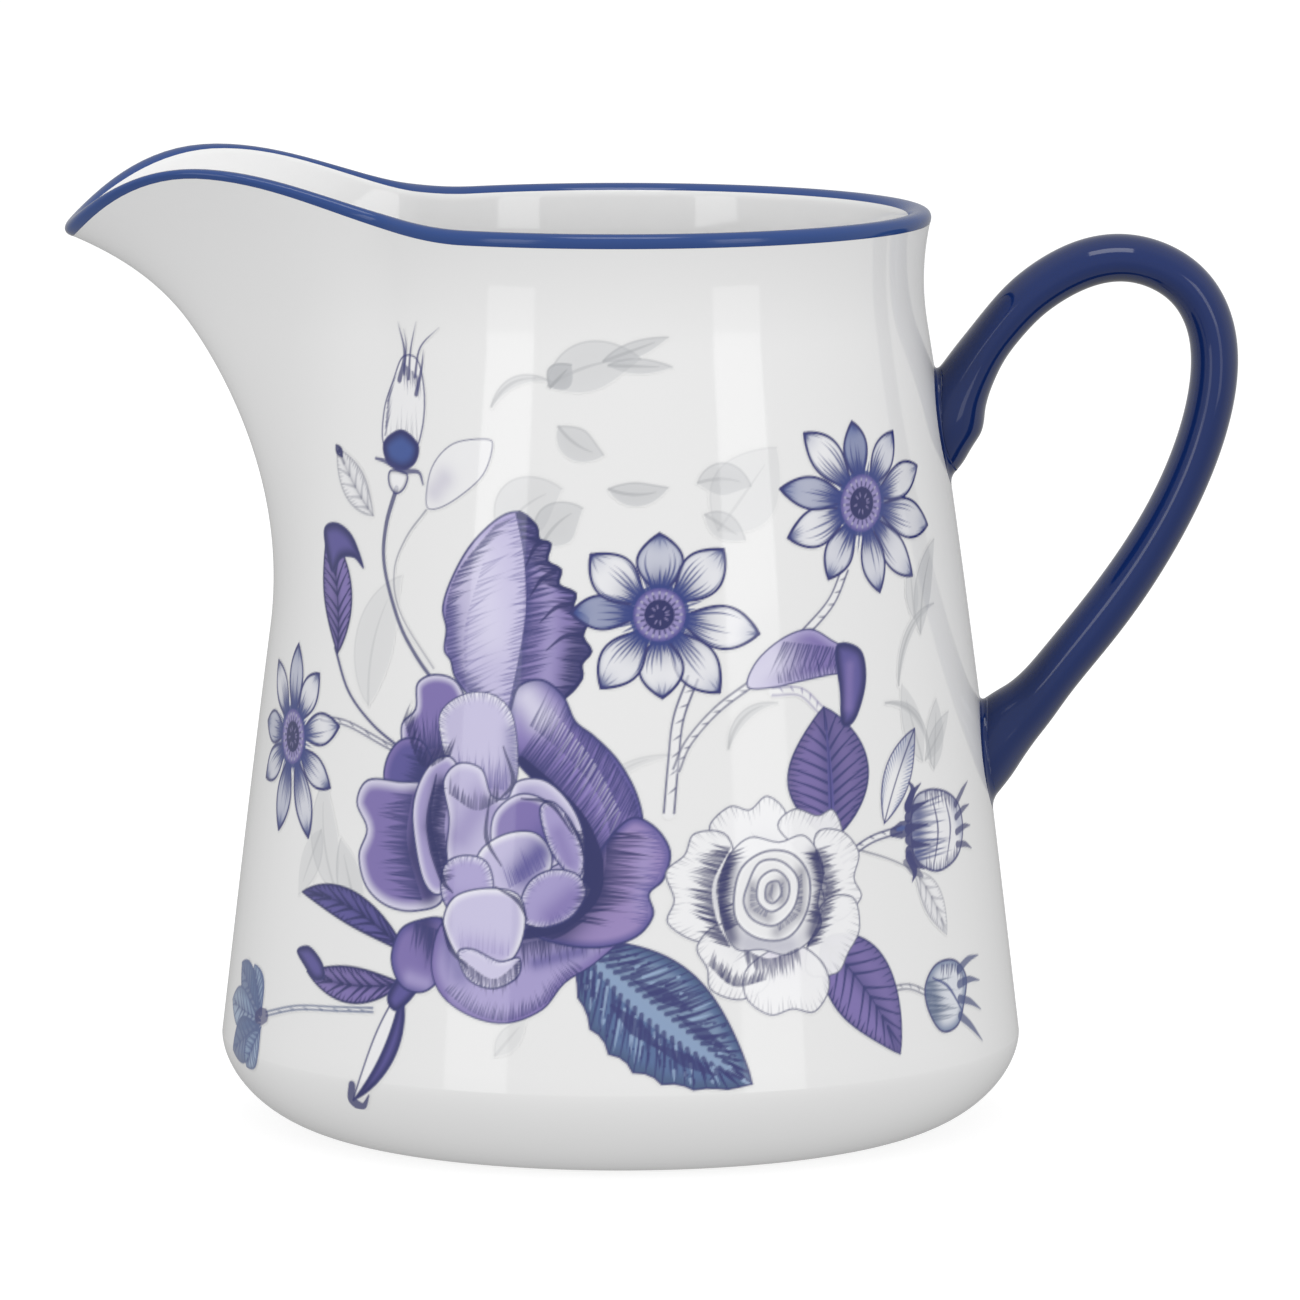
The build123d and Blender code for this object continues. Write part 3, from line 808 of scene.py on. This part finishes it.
# Buds at the right
stroke([(29.2, 32.2), (31.4, 32.4)], (1, 1.7, 1.5), navy, 0.9)
stroke([(29.8, 32.4), (31, 32.5)], (0.3, 0.5, 0.3), star_blue, 0.8)
bud = [(32.2, 34.6), (34.6, 35.6), (38.2, 35), (40.8, 33.4), (41.4, 31), (40, 28.8), (36.6, 27.8),
    (33.8, 28.4), (32, 30.2)]
petal(bud, star_blue * 0.4 + white * 0.6, white, 0.8, [([(33, 34), (32.8, 30)], star_dark, 1.4, 0.9),
    ([(39.6, 34), (41, 31)], star_blue, 0.8, 0.5)], 0.26, [([(32.2, 34.4), (32, 32), (32.6, 29)], (1, 0, 0),
    6.4, 0.3, 0.3, star_dark), ([(34, 35.4), (37.6, 35.2), (40.4, 33.6)], (0.1, -1, 0), 1.6, 0.4, 0.28,
    navy), ([(34, 28.2), (37, 27.8), (40, 28.8)], (0.1, 1, 0), 1.6, 0.4, 0.26, navy)], 0.8)
for u, low, high in ((35.6, 28.2, 35.2), (38, 28.6, 34.8)):
    stroke(curve([(u - 0.3, low), (u + 0.7, (low + high) / 2), (u - 0.3, high)]), (0.14, 0.34, 0.14), navy,
        0.8)
for tip in (
        (31.6, 36.8), (33.6, 36.4), (34.8, 34.6), (34.6, 32.4), (34.9, 30.4), (33.8, 28.2), (31.8, 27.2)):
    stroke(curve([(31.4, 32.2 + (tip[1] - 32.2) * 0.5), (32.2, 32.2 + (tip[1] - 32.2) * 0.8), tip]),
        (1.1, 0.8, 0.1), navy, 0.95)
for z0, z1 in ((33.6, 35.4), (32.4, 33.2), (31, 31.2), (29.8, 29)):
    stroke(curve([(40, z0), (41.8, (z0 + z1) / 2 + 0.2), (43.4, z1)]), (0.7, 0.6, 0.1), navy, 0.85)
bud = [(33.4, 17.2), (35.2, 19), (38.4, 19), (40.6, 17.2), (40, 14.8), (38.6, 12.8), (35.8, 12.6),
    (33.8, 14.8)]
petal(bud, steel, white * 0.7 + sky * 0.3, 1.2, [([(34.4, 16.8), (35, 14.8)], steel * 0.8, 1.2, 0.9)], 0.24,
    [([(33.8, 17.6), (33.6, 16), (34.4, 13.8)], (1, -0.1, 0), 5, 0.34, 0.28, steel * 0.6),
    ([(36, 18.8), (39, 18.4), (40.4, 16.8)], (-0.2, -1, 0), 1.6, 0.4, 0.26, navy)], 0.85)
stroke(curve([(34.6, 17.8), (37.2, 16.6), (39.6, 14)]), (0.2, 0.36, 0.2), star_dark, 0.85)
for z0, z1 in ((18, 18.8), (16.6, 16.4), (15.2, 13.6), (13.6, 10.6)):
    stroke(curve([(39.2, z0), (41.2, (z0 + z1) / 2 + 0.3), (43.6, z1)]), (0.9, 0.7, 0.1),
        navy * 0.7 + steel * 0.3, 0.85)

# Tall petal behind the big flower: a pale left half and a darker, ragged right half
ridge = [(-10.8, 45), (-9.8, 49.5), (-9, 54.5), (-9.2, 59.5), (-10, 63.6)]
ragged = [(-9.6, 63.7), (-8, 62.5), (-7.7, 61.2), (-6.6, 60.8), (-6.9, 59.2), (-5.6, 58.4), (-5.8, 57),
    (-4.2, 56.2), (-4.4, 54.8), (-3, 53.8), (-3.5, 52.2), (-2.7, 50.8), (-3.6, 49.6), (-3.6, 48.2),
    (-5.2, 46.4)]
petal([(-13, 45), (-16, 47.6), (-16.7, 49.4), (-17.4, 50.4), (-17.2, 52.4), (-17.6, 54.4), (-16.6, 57.2),
    (-14.6, 60.4), (-11.8, 63)] + ragged + [(-9, 45)], lilac, lilac * 0.6 + pale * 0.4, 1.4,
    [([(-16.8, 54), (-16.4, 48.6), (-13.8, 45.4)], violet, 1.1, 0.7), ([(-13.6, 59), (-12.6, 52)], pale,
    2.2, 0.5)], 0.24, [([(-13.2, 45.4), (-16.2, 48.4), (-17.2, 52), (-16.4, 57), (-12, 62.4)], (1, 0.35, 0),
    2.6, 0.3, 0.22, navy), ([(-14.6, 46.2), (-15.2, 52), (-13.2, 59)], (1, 0.45, 0), 3.6, 0.42, 0.16,
    violet, 0.55), (curve(ridge), (-1, -0.3, 0), 2, 0.36, 0.2, violet)])
side_mask = fill(np.vstack([curve(ridge), curve(ragged, 3)]), violet, purple, 1, 0.9,
    [([(-4.6, 48), (-3.8, 52)], deep, 1.2, 0.7), (curve([(-7.6, 59.6), (-6.6, 54), (-7, 48)]), lilac, 1,
    0.6)])
hatch(curve(ridge), (1, 0.25, 0), 3.4, 0.3, 0.3, navy, 0.85, within=side_mask)
hatch(curve(ragged, 3), (-1, 0.1, 0), 2.6, 0.26, 0.28, deep, 0.9, within=side_mask)
for low, high in (
        ((-7.4, 61), (-9, 58.6)), ((-6.2, 58.2), (-8.6, 55.8)), ((-4.6, 55.2), (-7.6, 53.4)),
        ((-3.6, 52.4), (-7, 50.8))):
    stroke(curve([low, ((low[0] + high[0]) / 2, (low[1] + high[1]) / 2 + 0.5), high]), (0.5, 0.4, 0.1),
        deep, 0.85, side_mask)
stroke(curve(ragged, 3), (0.3, 0.34, 0.34), deep, 0.95)

# Big flower: outer petals, from the back
outer = (0.26, 0.28, navy)
petal([(-20.6, 44.6), (-20.4, 47), (-18.4, 48), (-16, 47.4), (-15, 44.6), (-16.6, 41), (-19.6, 38.8),
    (-21.8, 40.6), (-22.2, 43)], pale, purple, 0.9, [([(-20, 40), (-17, 41)], deep, 1.2, 0.8)], 0.24,
    [([(-21, 40.6), (-16.4, 41.6)], (0, 1, 0), 3.6, *outer)])
petal([(-19.6, 41.4), (-22.2, 41.6), (-24, 39.6), (-24, 37.2), (-20.4, 36.4), (-18.2, 38)], purple, violet,
    1, [([(-20.4, 37.2), (-19, 40.4)], deep, 1.2, 0.8)], 0.24, [([(-19.4, 41), (-20, 36.8)], (-1, 0.2, 0),
    2.6, *outer)])
petal([(-18.6, 37.2), (-22.6, 37.6), (-26.4, 37.4), (-27.8, 35.2), (-26.4, 32.8), (-27.4, 30.2),
    (-26.4, 27.4), (-23.8, 25.8), (-20.4, 25.6), (-17.4, 27), (-17.6, 32)], pale, purple, 1.3,
    [([(-20, 36), (-20.8, 31), (-19, 27.4)], deep, 1.3, 0.85)], 0.24,
    [([(-21, 36.6), (-21.6, 32), (-19.8, 26.6)], (-1, -0.05, 0), 3.6, *outer)])
petal([(-10.4, 45.4), (-9.6, 47.4), (-7.4, 48), (-5.4, 46.6), (-4.2, 44.2), (-2.4, 42.8), (-0.2, 40.6),
    (1.6, 37.4), (2.2, 34.2), (1.2, 31.4), (-1.6, 28.6), (-3.4, 29.4), (-4.6, 33.6), (-7, 37.4),
    (-9.8, 40.2), (-10.8, 43)], violet, purple * 1.12, 1.2, [([(-8.8, 46.2), (-7.6, 44.6)], pale, 1.7, 0.9),
    ([(-9, 39.4), (-4.2, 33.6), (-2.4, 29.2)], deep, 1.7, 0.95), ([(-3.4, 42), (0.6, 36)], violet, 0.9,
    0.4)], 0.26, [([(-9.8, 40.6), (-6.4, 37.6), (-3.6, 33.6), (-2.6, 29.8)], (0.75, 1, 0), 5.4, 0.22, 0.24,
    navy, 0.8, 0.1), ([(-8.6, 43.8), (-4.6, 40.6), (-1.6, 36.6), (-0.6, 32)], (0.5, 1, 0), 4.6, 0.26, 0.18,
    navy, 0.7, 0.1), ([(-5, 46.2), (-2.2, 42.8), (1.2, 37.4), (2, 34)], (-0.5, -1, 0), 3, 0.26, 0.2, navy,
    0.8, 0.1), ([(-6.6, 45.4), (-2.6, 40.6), (0.2, 35.4)], (-0.6, -1, 0), 3.4, 0.4, 0.14, pale, 0.55, 0.1)])
petal([(-19.8, 24.8), (-22.2, 23.6), (-23.2, 20.8), (-22, 18.4), (-19.6, 18), (-17.6, 19.6), (-16.6, 22.6),
    (-17.4, 25)], violet, purple, 1, [([(-19.4, 24.4), (-18, 22)], deep, 1.3, 0.8),
    ([(-21, 19.2), (-19.2, 18.8)], lilac, 0.8, 0.8)], 0.24, [([(-20.6, 24.4), (-17.2, 23.8)], (-0.2, -1, 0),
    3.6, *outer)])
petal([(-16.6, 25.4), (-18.6, 21.4), (-17.8, 18.2), (-14.8, 16.2), (-11, 15.6), (-7.4, 17), (-5.2, 19.6),
    (-2.2, 21.6), (0.4, 24.4), (-3, 26), (-9, 26.4)], purple, lilac, 1.3,
    [([(-9.4, 24.4), (-4, 25)], deep, 1.8, 0.95), ([(-8, 21.4), (-3.6, 22.6)], violet, 0.7, 0.7),
    ([(-16.8, 23), (-15.6, 20)], violet, 1.2, 0.6)], 0.18,
    [([(-17.2, 18.4), (-14, 16.4), (-10.4, 16), (-6.6, 18), (-3.4, 21.2)], (-10, 26), 1.8, 0.28, 0.18, navy,
    0.8, 0.05), ([(-9.6, 23), (-2, 24.8)], (0.1, -1, 0), 2.6, 0.3, 0.26, deep)])
petal([(0.8, 35), (3.2, 34.4), (4.8, 32), (4.2, 29.4), (2.8, 28), (3.2, 26), (1.6, 24), (-1.6, 23),
    (-5.4, 23.2), (-8.4, 24.4), (-6.4, 27), (-3, 27.6), (-2.2, 31.4)], violet, mauve, 1,
    [([(-2.6, 32.6), (-2.4, 28.6), (-5.6, 25)], deep, 1.9, 0.95), ([(2.6, 32.6), (2, 27)], lilac, 1, 0.4)],
    0.24, [([(-1, 34), (-1.6, 29), (-4.6, 25.4)], (1, -0.05, 0), 4.4, 0.24, 0.28, deep),
    ([(3.2, 34), (4.4, 31.4), (2.8, 28), (2.6, 25.2)], (-1, 0.1, 0), 2.2, 0.3, 0.18, violet)])
petal([(-17.6, 41.6), (-17.8, 44.4), (-15.6, 46.2), (-12.8, 46.6), (-10.6, 45.2), (-9.8, 42), (-10, 38),
    (-12, 36), (-16, 36.6)], white * 0.5 + pale * 0.5, lilac * 0.5 + pale * 0.5, 1.1,
    [([(-16.6, 37.6), (-11, 37.6)], purple, 1.6, 0.7), ([(-10.2, 39), (-10.2, 43)], violet, 0.9, 0.6)],
    0.14, [([(-17, 38), (-10.6, 37.6)], (0.05, 1, 0), 3.8, 0.3, 0.2, violet)], engraved=1.2)
stroke(curve([(-9.4, 40.4), (-6.4, 37.6), (-4, 34.6), (-2.8, 31), (-3, 27.8), (-6, 25), (-10, 23.8)]),
    (0.8, 2.6, 0.8), deep, 0.95)

# Big flower: the cupped middle
cup = (0.3, 0.2, violet)
petal([(-20.8, 33.8), (-20.4, 37), (-18.8, 39.6), (-16.8, 40.4), (-15.6, 38.6), (-16.2, 34.6),
    (-15.4, 30.6), (-17.6, 27.4), (-19.6, 28.6)], pale, lilac, 0.9,
    [([(-17.6, 37.6), (-18.6, 33.6), (-16.8, 29.6)], deep, 1, 0.9)], 0.22,
    [([(-16.6, 38), (-17.4, 33.6), (-16.4, 29.4)], (-1, 0.1, 0), 1.8, 0.3, 0.28, deep)])
petal([(-17.4, 38), (-15.8, 39.8), (-13.4, 39.4), (-12.4, 37), (-10.8, 36.8), (-9.8, 38.4), (-7.2, 38.6),
    (-4.8, 36.6), (-3.4, 33.4), (-3.6, 29), (-6.4, 25.8), (-11, 25), (-15.6, 27), (-17, 31), (-16.8, 34.6)],
    pale, lilac * 0.6 + pale * 0.4, 1, [([(-15.6, 33), (-13.4, 36.4), (-11.4, 34.4)], purple, 1.6, 0.6),
    ([(-8.6, 36.4), (-5.4, 34.4), (-4.6, 31)], violet, 1, 0.9)], 0.2,
    [([(-9.6, 36.8), (-6.2, 35.8), (-4.6, 32)], (-8, 30), 1.8, 0.26, 0.24, navy)])
petal([(-12.4, 32.6), (-12, 35.4), (-9.6, 37.2), (-7, 36.6), (-5.4, 34), (-5.6, 31), (-8.6, 30),
    (-11, 30.6)], pale, purple, 0.9, [([(-8.2, 32.2), (-6.4, 33.8)], violet, 1.3, 0.85)], 0.2,
    [([(-10.8, 31.4), (-6, 31.4)], (0.1, 1, 0), 2.8, *cup)])
petal([(-14.2, 28.6), (-13.6, 31.6), (-11, 33.4), (-8, 33.6), (-6.4, 31.4), (-7.4, 28.6), (-10.4, 26.6),
    (-13, 26.8)], white * 0.6 + pale * 0.4, lilac * 0.6 + pale * 0.4, 0.9,
    [([(-9.4, 29.8), (-7.6, 31.8)], violet, 1.4, 0.9)], 0.2, [([(-10.6, 28.4), (-7, 30.6)], (-0.4, 1, 0),
    2.6, *cup)])
petal([(-7.6, 35.8), (-6.4, 36.6), (-4.6, 34.8), (-3.4, 31.8), (-3.8, 29.6), (-5.4, 30.4), (-6.8, 32.6)],
    pale, lilac, 0.7, [([(-5.8, 33.6), (-4.8, 31)], purple, 0.9, 0.6)], 0.2, engraved=0.9)
petal([(-9.6, 26.6), (-8.6, 29), (-6.4, 30.2), (-4, 29.8), (-3.2, 28), (-4.6, 25.8), (-7, 24.8), (-9, 25)],
    pale, lilac, 0.8, [([(-6.4, 25.8), (-4.4, 27.6)], purple, 1.3, 0.8)], 0.2, engraved=1.1)
petal([(-17.6, 27.4), (-17.2, 30.2), (-15, 31.2), (-12.8, 30.6), (-12.2, 28), (-13.4, 25.8), (-16.2, 25.6)],
    pale, lilac, 0.9, [([(-16.4, 26.6), (-13.6, 26.8)], purple, 1, 0.8)], 0.2, engraved=1)
petal([(-17.4, 24.8), (-16.2, 27.2), (-13, 28.2), (-9.8, 27.8), (-9, 25.2), (-10, 22), (-12.4, 20.4),
    (-15, 20.8), (-16.6, 22.6)], white * 0.6 + pale * 0.4, lilac * 0.5 + pale * 0.5, 0.9,
    [([(-14.8, 22.8), (-11.4, 22.2)], lilac, 1.2, 0.6)], 0.2, [([(-15.8, 22.4), (-10.6, 22)], (0, 1, 0),
    2.4, 0.4, 0.14, purple, 0.5)])
petal([(-15.8, 22), (-14.2, 22.4), (-11.6, 21.4), (-9.6, 21.8), (-9.8, 20), (-12.2, 18.8), (-14.8, 19.6)],
    pale, lilac * 0.4 + pale * 0.6, 0.7, None, 0.2, engraved=0.8)

# Dark creases between the petals
for points, width in (
        ([(-18.2, 38.6), (-19, 34), (-17.6, 29), (-16.4, 27.6)], 0.9),
        ([(-12.6, 36.6), (-12.9, 33), (-11.4, 30.4)], 0.5), ([(-5.2, 35.4), (-3.2, 32), (-3.4, 28.8)], 0.7),
        ([(-9, 25), (-6.4, 24.2), (-3.2, 25.6)], 1.1), ([(-12, 28.4), (-9.8, 27.2), (-8.8, 25.4)], 0.5),
        ([(-17.6, 25.2), (-16.6, 22.4), (-14.8, 20.6)], 0.6),
        ([(-11.2, 41.6), (-10.2, 38.4), (-11.6, 36.6)], 0.5),
        ([(-9.4, 36.8), (-6.6, 36.4), (-4.4, 33.6)], 0.45)):
    stroke(curve(points), (0.15, width, 0.15), deep, 0.85)
for line, way, size in (
        ([(-3.2, 34), (-2.4, 30), (-3.2, 26.4)], (-1, 0, 0), 1.6),
        ([(-18.4, 37.6), (-19, 33.4), (-17.6, 28.6)], (1, 0.2, 0), 1.8),
        ([(-15.6, 21.4), (-12.2, 19.6), (-9.4, 21.6)], (0.1, -1, 0), 1.8),
        ([(-16.8, 37), (-14, 35.6), (-11.6, 36.6)], (0.1, 1, 0), 2),
        ([(-22, 43.6), (-19.8, 39.4), (-16.6, 40.6)], (0.4, 1, 0), 2.2)):
    hatch(line, way, size, 0.26, 0.26, deep, 0.85)

# White rose
rose_line = grey * 0.6 + navy * 0.4
cream, shadow = (tone(238, 238, 240), tone(170, 170, 186))
heart = np.array([14.8, 27.2])
for points, shade, strength in (
        ([(9.8, 32.2), (8.6, 34.2), (10.6, 36), (12.6, 35.6), (14.4, 36.8), (16.4, 35), (16.2, 32),
         (12.8, 30.8)], shadow, 0.5),
        ([(15.6, 33.6), (17.2, 35.4), (19.8, 34.6), (21.6, 35), (22.6, 32.4), (20.4, 30)], shadow, 0.4),
        ([(19.4, 32.4), (22.4, 33), (24.6, 30.8), (24, 28.4), (24.8, 26.4), (21.4, 24.8)], navy, 0.55),
        ([(10.4, 33.2), (7.2, 33.6), (6.2, 31.6), (4.4, 30), (5.2, 27.4), (4.6, 25.2), (7.6, 23.4),
         (10.2, 24.4), (11.4, 28.4)], navy, 0.8),
        ([(20.2, 26.2), (23.8, 26.6), (24.6, 23.6), (23.2, 21.4), (21.8, 19.6), (18.4, 20.2)], shadow, 0.6),
        ([(9.8, 25), (7.4, 23), (8.4, 20.8), (8.8, 18.8), (11.8, 17.8), (14.6, 19.4), (14.2, 23.4)], shadow,
         0.7),
        ([(12.4, 20.8), (12.2, 18), (14.6, 16.2), (17, 16.6), (19.4, 16.2), (21, 18.4), (20, 21),
         (16.6, 22.8)], mauve, 0.6)):
    near = np.array(points).mean(0) * 0.45 + heart * 0.55
    petal(points, cream, cream, 0.8, [([near, near * 0.85 + heart * 0.15], shade, 2.2, strength)], 0.16,
        [(loop(points), tuple(heart), 1.5, 0.55, 0.14, grey, 0.6), ([near + (0, 2), near - (0, 2)],
        tuple(near * 2 - heart), 2.4, 0.34, 0.18, rose_line, 0.6, 0.5)], 0.92, line_color=rose_line)
petal([(9.6, 28.4), (10.4, 31.2), (12.6, 33), (15.6, 32.4), (18.4, 32.8), (20.4, 29.8), (19.8, 26.4),
    (20, 24), (16.8, 21.8), (13.8, 22.4), (11.2, 22.6), (9.8, 25.2)], cream, cream, 0.8,
    [([(10.4, 30.4), (9.6, 27), (10.8, 23.6)], deep, 1, 0.9), ([(19.6, 30.8), (20.4, 27.4), (19.2, 23.6)],
    deep, 0.9, 0.85), ([(12.6, 23), (16.6, 22.6)], shadow, 1.6, 0.8)], 0.16, None, 0.97,
    line_color=rose_line)
for line, way, size in (
        ([(10.6, 32.2), (8.8, 28.8), (9.2, 25.4), (10.6, 22.8)], (-1, 0.25, 0), 2.6),
        ([(19.6, 31.4), (20.8, 28.2), (20, 24.8), (18.6, 22.4)], (1, 0.2, 0), 2),
        ([(10.6, 31.6), (9.4, 28.4), (10.2, 24.4)], (1, 0.2, 0), 1.9),
        ([(19.6, 31.2), (20.6, 28.2), (19.8, 24.4)], (-1, 0.2, 0), 1.7),
        ([(12, 22.4), (14.6, 21.4), (17.6, 22.2)], (0.15, -1, 0), 2),
        ([(8.6, 21.2), (11, 19.2), (14.2, 19.6)], (0.3, 1, 0), 1.6)):
    hatch(line, way, size, 0.2, 0.28, deep, 0.85)
for points, shade_line, strength in (
        ([(11, 27.4), (11.8, 30.2), (14.2, 31.6), (17, 31.2), (18.8, 29), (18.6, 25.8), (16.6, 23.4),
         (13.6, 23.4), (11.4, 25)], [(18, 29.4), (17.8, 25.8), (15.4, 24)], 0.7),
        ([(12.4, 28.6), (13.6, 30.6), (15.8, 30.6), (17.6, 28.8), (17.2, 26.2), (15.2, 24.6), (13, 25.2),
         (12, 26.8)], [(12.8, 28.4), (12.8, 26.4), (14.4, 25.4)], 0.75),
        ([(13.4, 27), (13.6, 29), (15.2, 29.8), (16.6, 28.6), (16.4, 26.8), (14.8, 25.9)],
         [(16, 28.6), (15.9, 27)], 0.8),
        ([(14.2, 27.2), (14.4, 28.5), (15.5, 28.7), (15.8, 27.5), (15, 26.7)], [(14.5, 27.4), (14.9, 28.4)],
         0.9)):
    petal(points, cream, cream * 0.9, 0.5, [(shade_line, shadow * 0.7, 0.7, strength)], 0.24,
        [(curve(shade_line, 4), tuple(heart), 1.1, 0.3, 0.2, rose_line, 0.85)], 1, line_color=rose_line)

# Open flowers over the leaves
star_flower((3.8, 54.2), ((90, 7.6, 4.4, 0.45), (44, 8.6, 4.2, 0.12), (-12, 10, 4, 0), (-52, 9.4, 4, 0.1),
    (-88, 7.8, 4.2, 0.08), (-129, 8.8, 4, 0.12), (179, 8.4, 3.2, 0.75), (139, 8.6, 4.2, 0.05)), 2.5)
star_flower((25.8, 63.6), ((134, 9.8, 3.4, 0), (98, 7.8, 3.2, 0.8), (52, 8, 3.2, 0.3), (16, 9.6, 3.2, 0.1),
    (-16, 11.2, 3.6, 0.15), (-46, 10.4, 3.2, 0.2), (-76, 8.8, 3.2, 0.3), (-122, 8, 3.4, 0.3),
    (-163, 9, 3.6, 0.1), (168, 9.6, 3, 0.6)), 2.7, 1.05)

# The print as thin patches that follow the wall; only cells with ink are kept
faintest_ink = 0.003
print_color = ink + np.array(porcelain_color) * (1 - cover[..., None])
inked = cover > faintest_ink
cell = inked[:-1, :-1] | inked[1:, :-1] | inked[:-1, 1:] | inked[1:, 1:]
printed = material("flower_print", porcelain_color, glaze_roughness)
ink_node = printed.node_tree.nodes.new("ShaderNodeVertexColor")
ink_node.layer_name = "ink"
printed.node_tree.links.new(ink_node.outputs["Color"],
                            printed.node_tree.nodes["Principled BSDF"].inputs["Base Color"])


def film_patch(name, turn, rows, cols):
    """One patch of the print: a block of the grid's cells, on the wall at phi plus turn."""
    r, c = np.nonzero(cell[rows, cols])
    r, c = r + rows.start, c + cols.start
    across = len(film_phi)
    corner = r * across + c
    quads = np.stack([corner, corner + 1, corner + across + 1, corner + across], 1)
    used, local = np.unique(quads, return_inverse=True)
    rr, cc = used // across, used % across
    theta = (film_phi[cc] + pi / 2 + turn + pi) % (2 * pi) - pi
    points = place(theta, skin(theta, film_z[rr], -film_lift)[0])
    patch = mesh_object(name, points, local.reshape(quads.shape).tolist())
    layer = patch.data.color_attributes.new("ink", "FLOAT_COLOR", "POINT")
    colors = np.concatenate([print_color[rr, cc], np.ones((len(used), 1))], 1)
    layer.data.foreach_set("color", colors.astype(np.float32).ravel())
    patch.data.materials.append(printed)
    return patch


patch_rows, patch_columns = 2, 4
row_cuts = np.linspace(0, film_rows - 1, patch_rows + 1).astype(int)
col_cuts = np.linspace(0, film_columns - 1, patch_columns + 1).astype(int)
for side, turn in (("front", 0.0), ("back", pi)):
    for i in range(patch_rows):
        for j in range(patch_columns):
            patch = film_patch(f"flower_print_{side}_{i + 1}_{j + 1}", turn,
                               slice(row_cuts[i], row_cuts[i + 1]), slice(col_cuts[j], col_cuts[j + 1]))
            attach(patch, "root")
            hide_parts(f"floral_transfer_{side}")

# ---------------------------------------------------------------- studio
front_light, back_light, under_light = 0.855, 0.50, 0.69    # brightness of the room, by direction
world = bpy.data.worlds.new("studio")
bpy.context.scene.world = world
world.use_nodes = True
room = world.node_tree
direction = room.nodes.new("ShaderNodeSeparateXYZ")
room.links.new(room.nodes.new("ShaderNodeTexCoord").outputs["Generated"], direction.inputs[0])


def ramp(value, start, end, low, high):
    """A smooth change from low to high as the value goes from start to end."""
    node = room.nodes.new("ShaderNodeMapRange")
    node.interpolation_type = "SMOOTHSTEP"
    room.links.new(value, node.inputs["Value"])
    for name, number in (("From Min", start), ("From Max", end), ("To Min", low), ("To Max", high)):
        node.inputs[name].default_value = number
    return node.outputs["Result"]


towards_back = ramp(direction.outputs["Y"], 0.1, 0.9, front_light, back_light)
upwards = ramp(direction.outputs["Z"], -0.45, 0.05, under_light / front_light, 1.0)
product = room.nodes.new("ShaderNodeMath")
product.operation = "MULTIPLY"
room.links.new(towards_back, product.inputs[0])
room.links.new(upwards, product.inputs[1])
room.links.new(product.outputs[0], room.nodes["Background"].inputs["Strength"])
room.nodes["Background"].inputs["Color"].default_value = (1, 1, 1, 1)
bpy.context.scene.view_settings.view_transform = "Standard"

floor_size = 9
floor_glow = 0.62
bpy.ops.mesh.primitive_plane_add(size=floor_size, location=(0, 0, 0))
floor = bpy.context.object
floor.name = "studio_floor"
floor_paper = material("floor_paper", (0.55, 0.55, 0.55), 0.9)
paper_shader = floor_paper.node_tree.nodes["Principled BSDF"]
paper_shader.inputs["Emission Color"].default_value = (1, 1, 1, 1)
paper_shader.inputs["Emission Strength"].default_value = floor_glow
floor.data.materials.append(floor_paper)
floor.visible_diffuse = False
floor.visible_glossy = False


def panel_light(name, width, height, power):
    data = bpy.data.lights.new(name, "AREA")
    data.shape = "RECTANGLE"
    data.size, data.size_y = width, height
    data.energy = power
    light = bpy.data.objects.new(name, data)
    bpy.context.scene.collection.objects.link(light)
    light.visible_camera = False
    return light


def softbox(name, azimuth, width, low, high, power):
    """Upright panel; azimuth is from the front, -Y, towards the handle."""
    light = panel_light(name, width, high - low, power)
    a = radians(azimuth)
    light.location = (axis_x + softbox_distance * sin(a), -softbox_distance * cos(a), (low + high) / 2)
    light.rotation_euler = (pi / 2, 0, a)
    return light


softbox_distance = 0.95
strip_width, strip_low, strip_top, strip_foot = 0.31, 0.165, 0.62, -0.12
strip_power, strip_low_power, glint_power, overhead_power = 0.95, 0.36, 4.5, 3.0    # watts
overhead_size = 0.5
# The glint lights reach only the handle and its slip beads
handle_pieces = bpy.data.collections.new("handle_pieces")
for piece in (handle, upper_slip, lower_slip):
    handle_pieces.objects.link(piece)
for side, azimuth in (("left", -41.0), ("right", 44.0)):
    softbox(f"softbox_{side}", azimuth, strip_width, strip_low, strip_top, strip_power)
    softbox(f"softbox_{side}_low", azimuth, strip_width, strip_foot, strip_low, strip_low_power)
    glint = softbox(f"handle_glint_{side}", azimuth, strip_width * 0.5, strip_low, strip_top, glint_power)
    glint.light_linking.receiver_collection = handle_pieces
overhead = panel_light("overhead", overhead_size, overhead_size, overhead_power)
overhead.location = (axis_x, -0.25, 1.2)

camera_lens = 284.9         # millimetres, on the sensor below
camera_sensor = 36.0
camera_clip = 20
camera_place = (0.00014, -1.0, 0.1757)
camera_dip = 7.36           # degrees below level
camera_data = bpy.data.cameras.new("camera")
camera = bpy.data.objects.new("camera", camera_data)
bpy.context.scene.collection.objects.link(camera)
camera_data.sensor_width = camera_sensor
camera_data.lens = camera_lens
camera_data.clip_end = camera_clip
camera.location = camera_place
camera.rotation_euler = (radians(90 - camera_dip), 0, 0)
bpy.context.scene.camera = camera
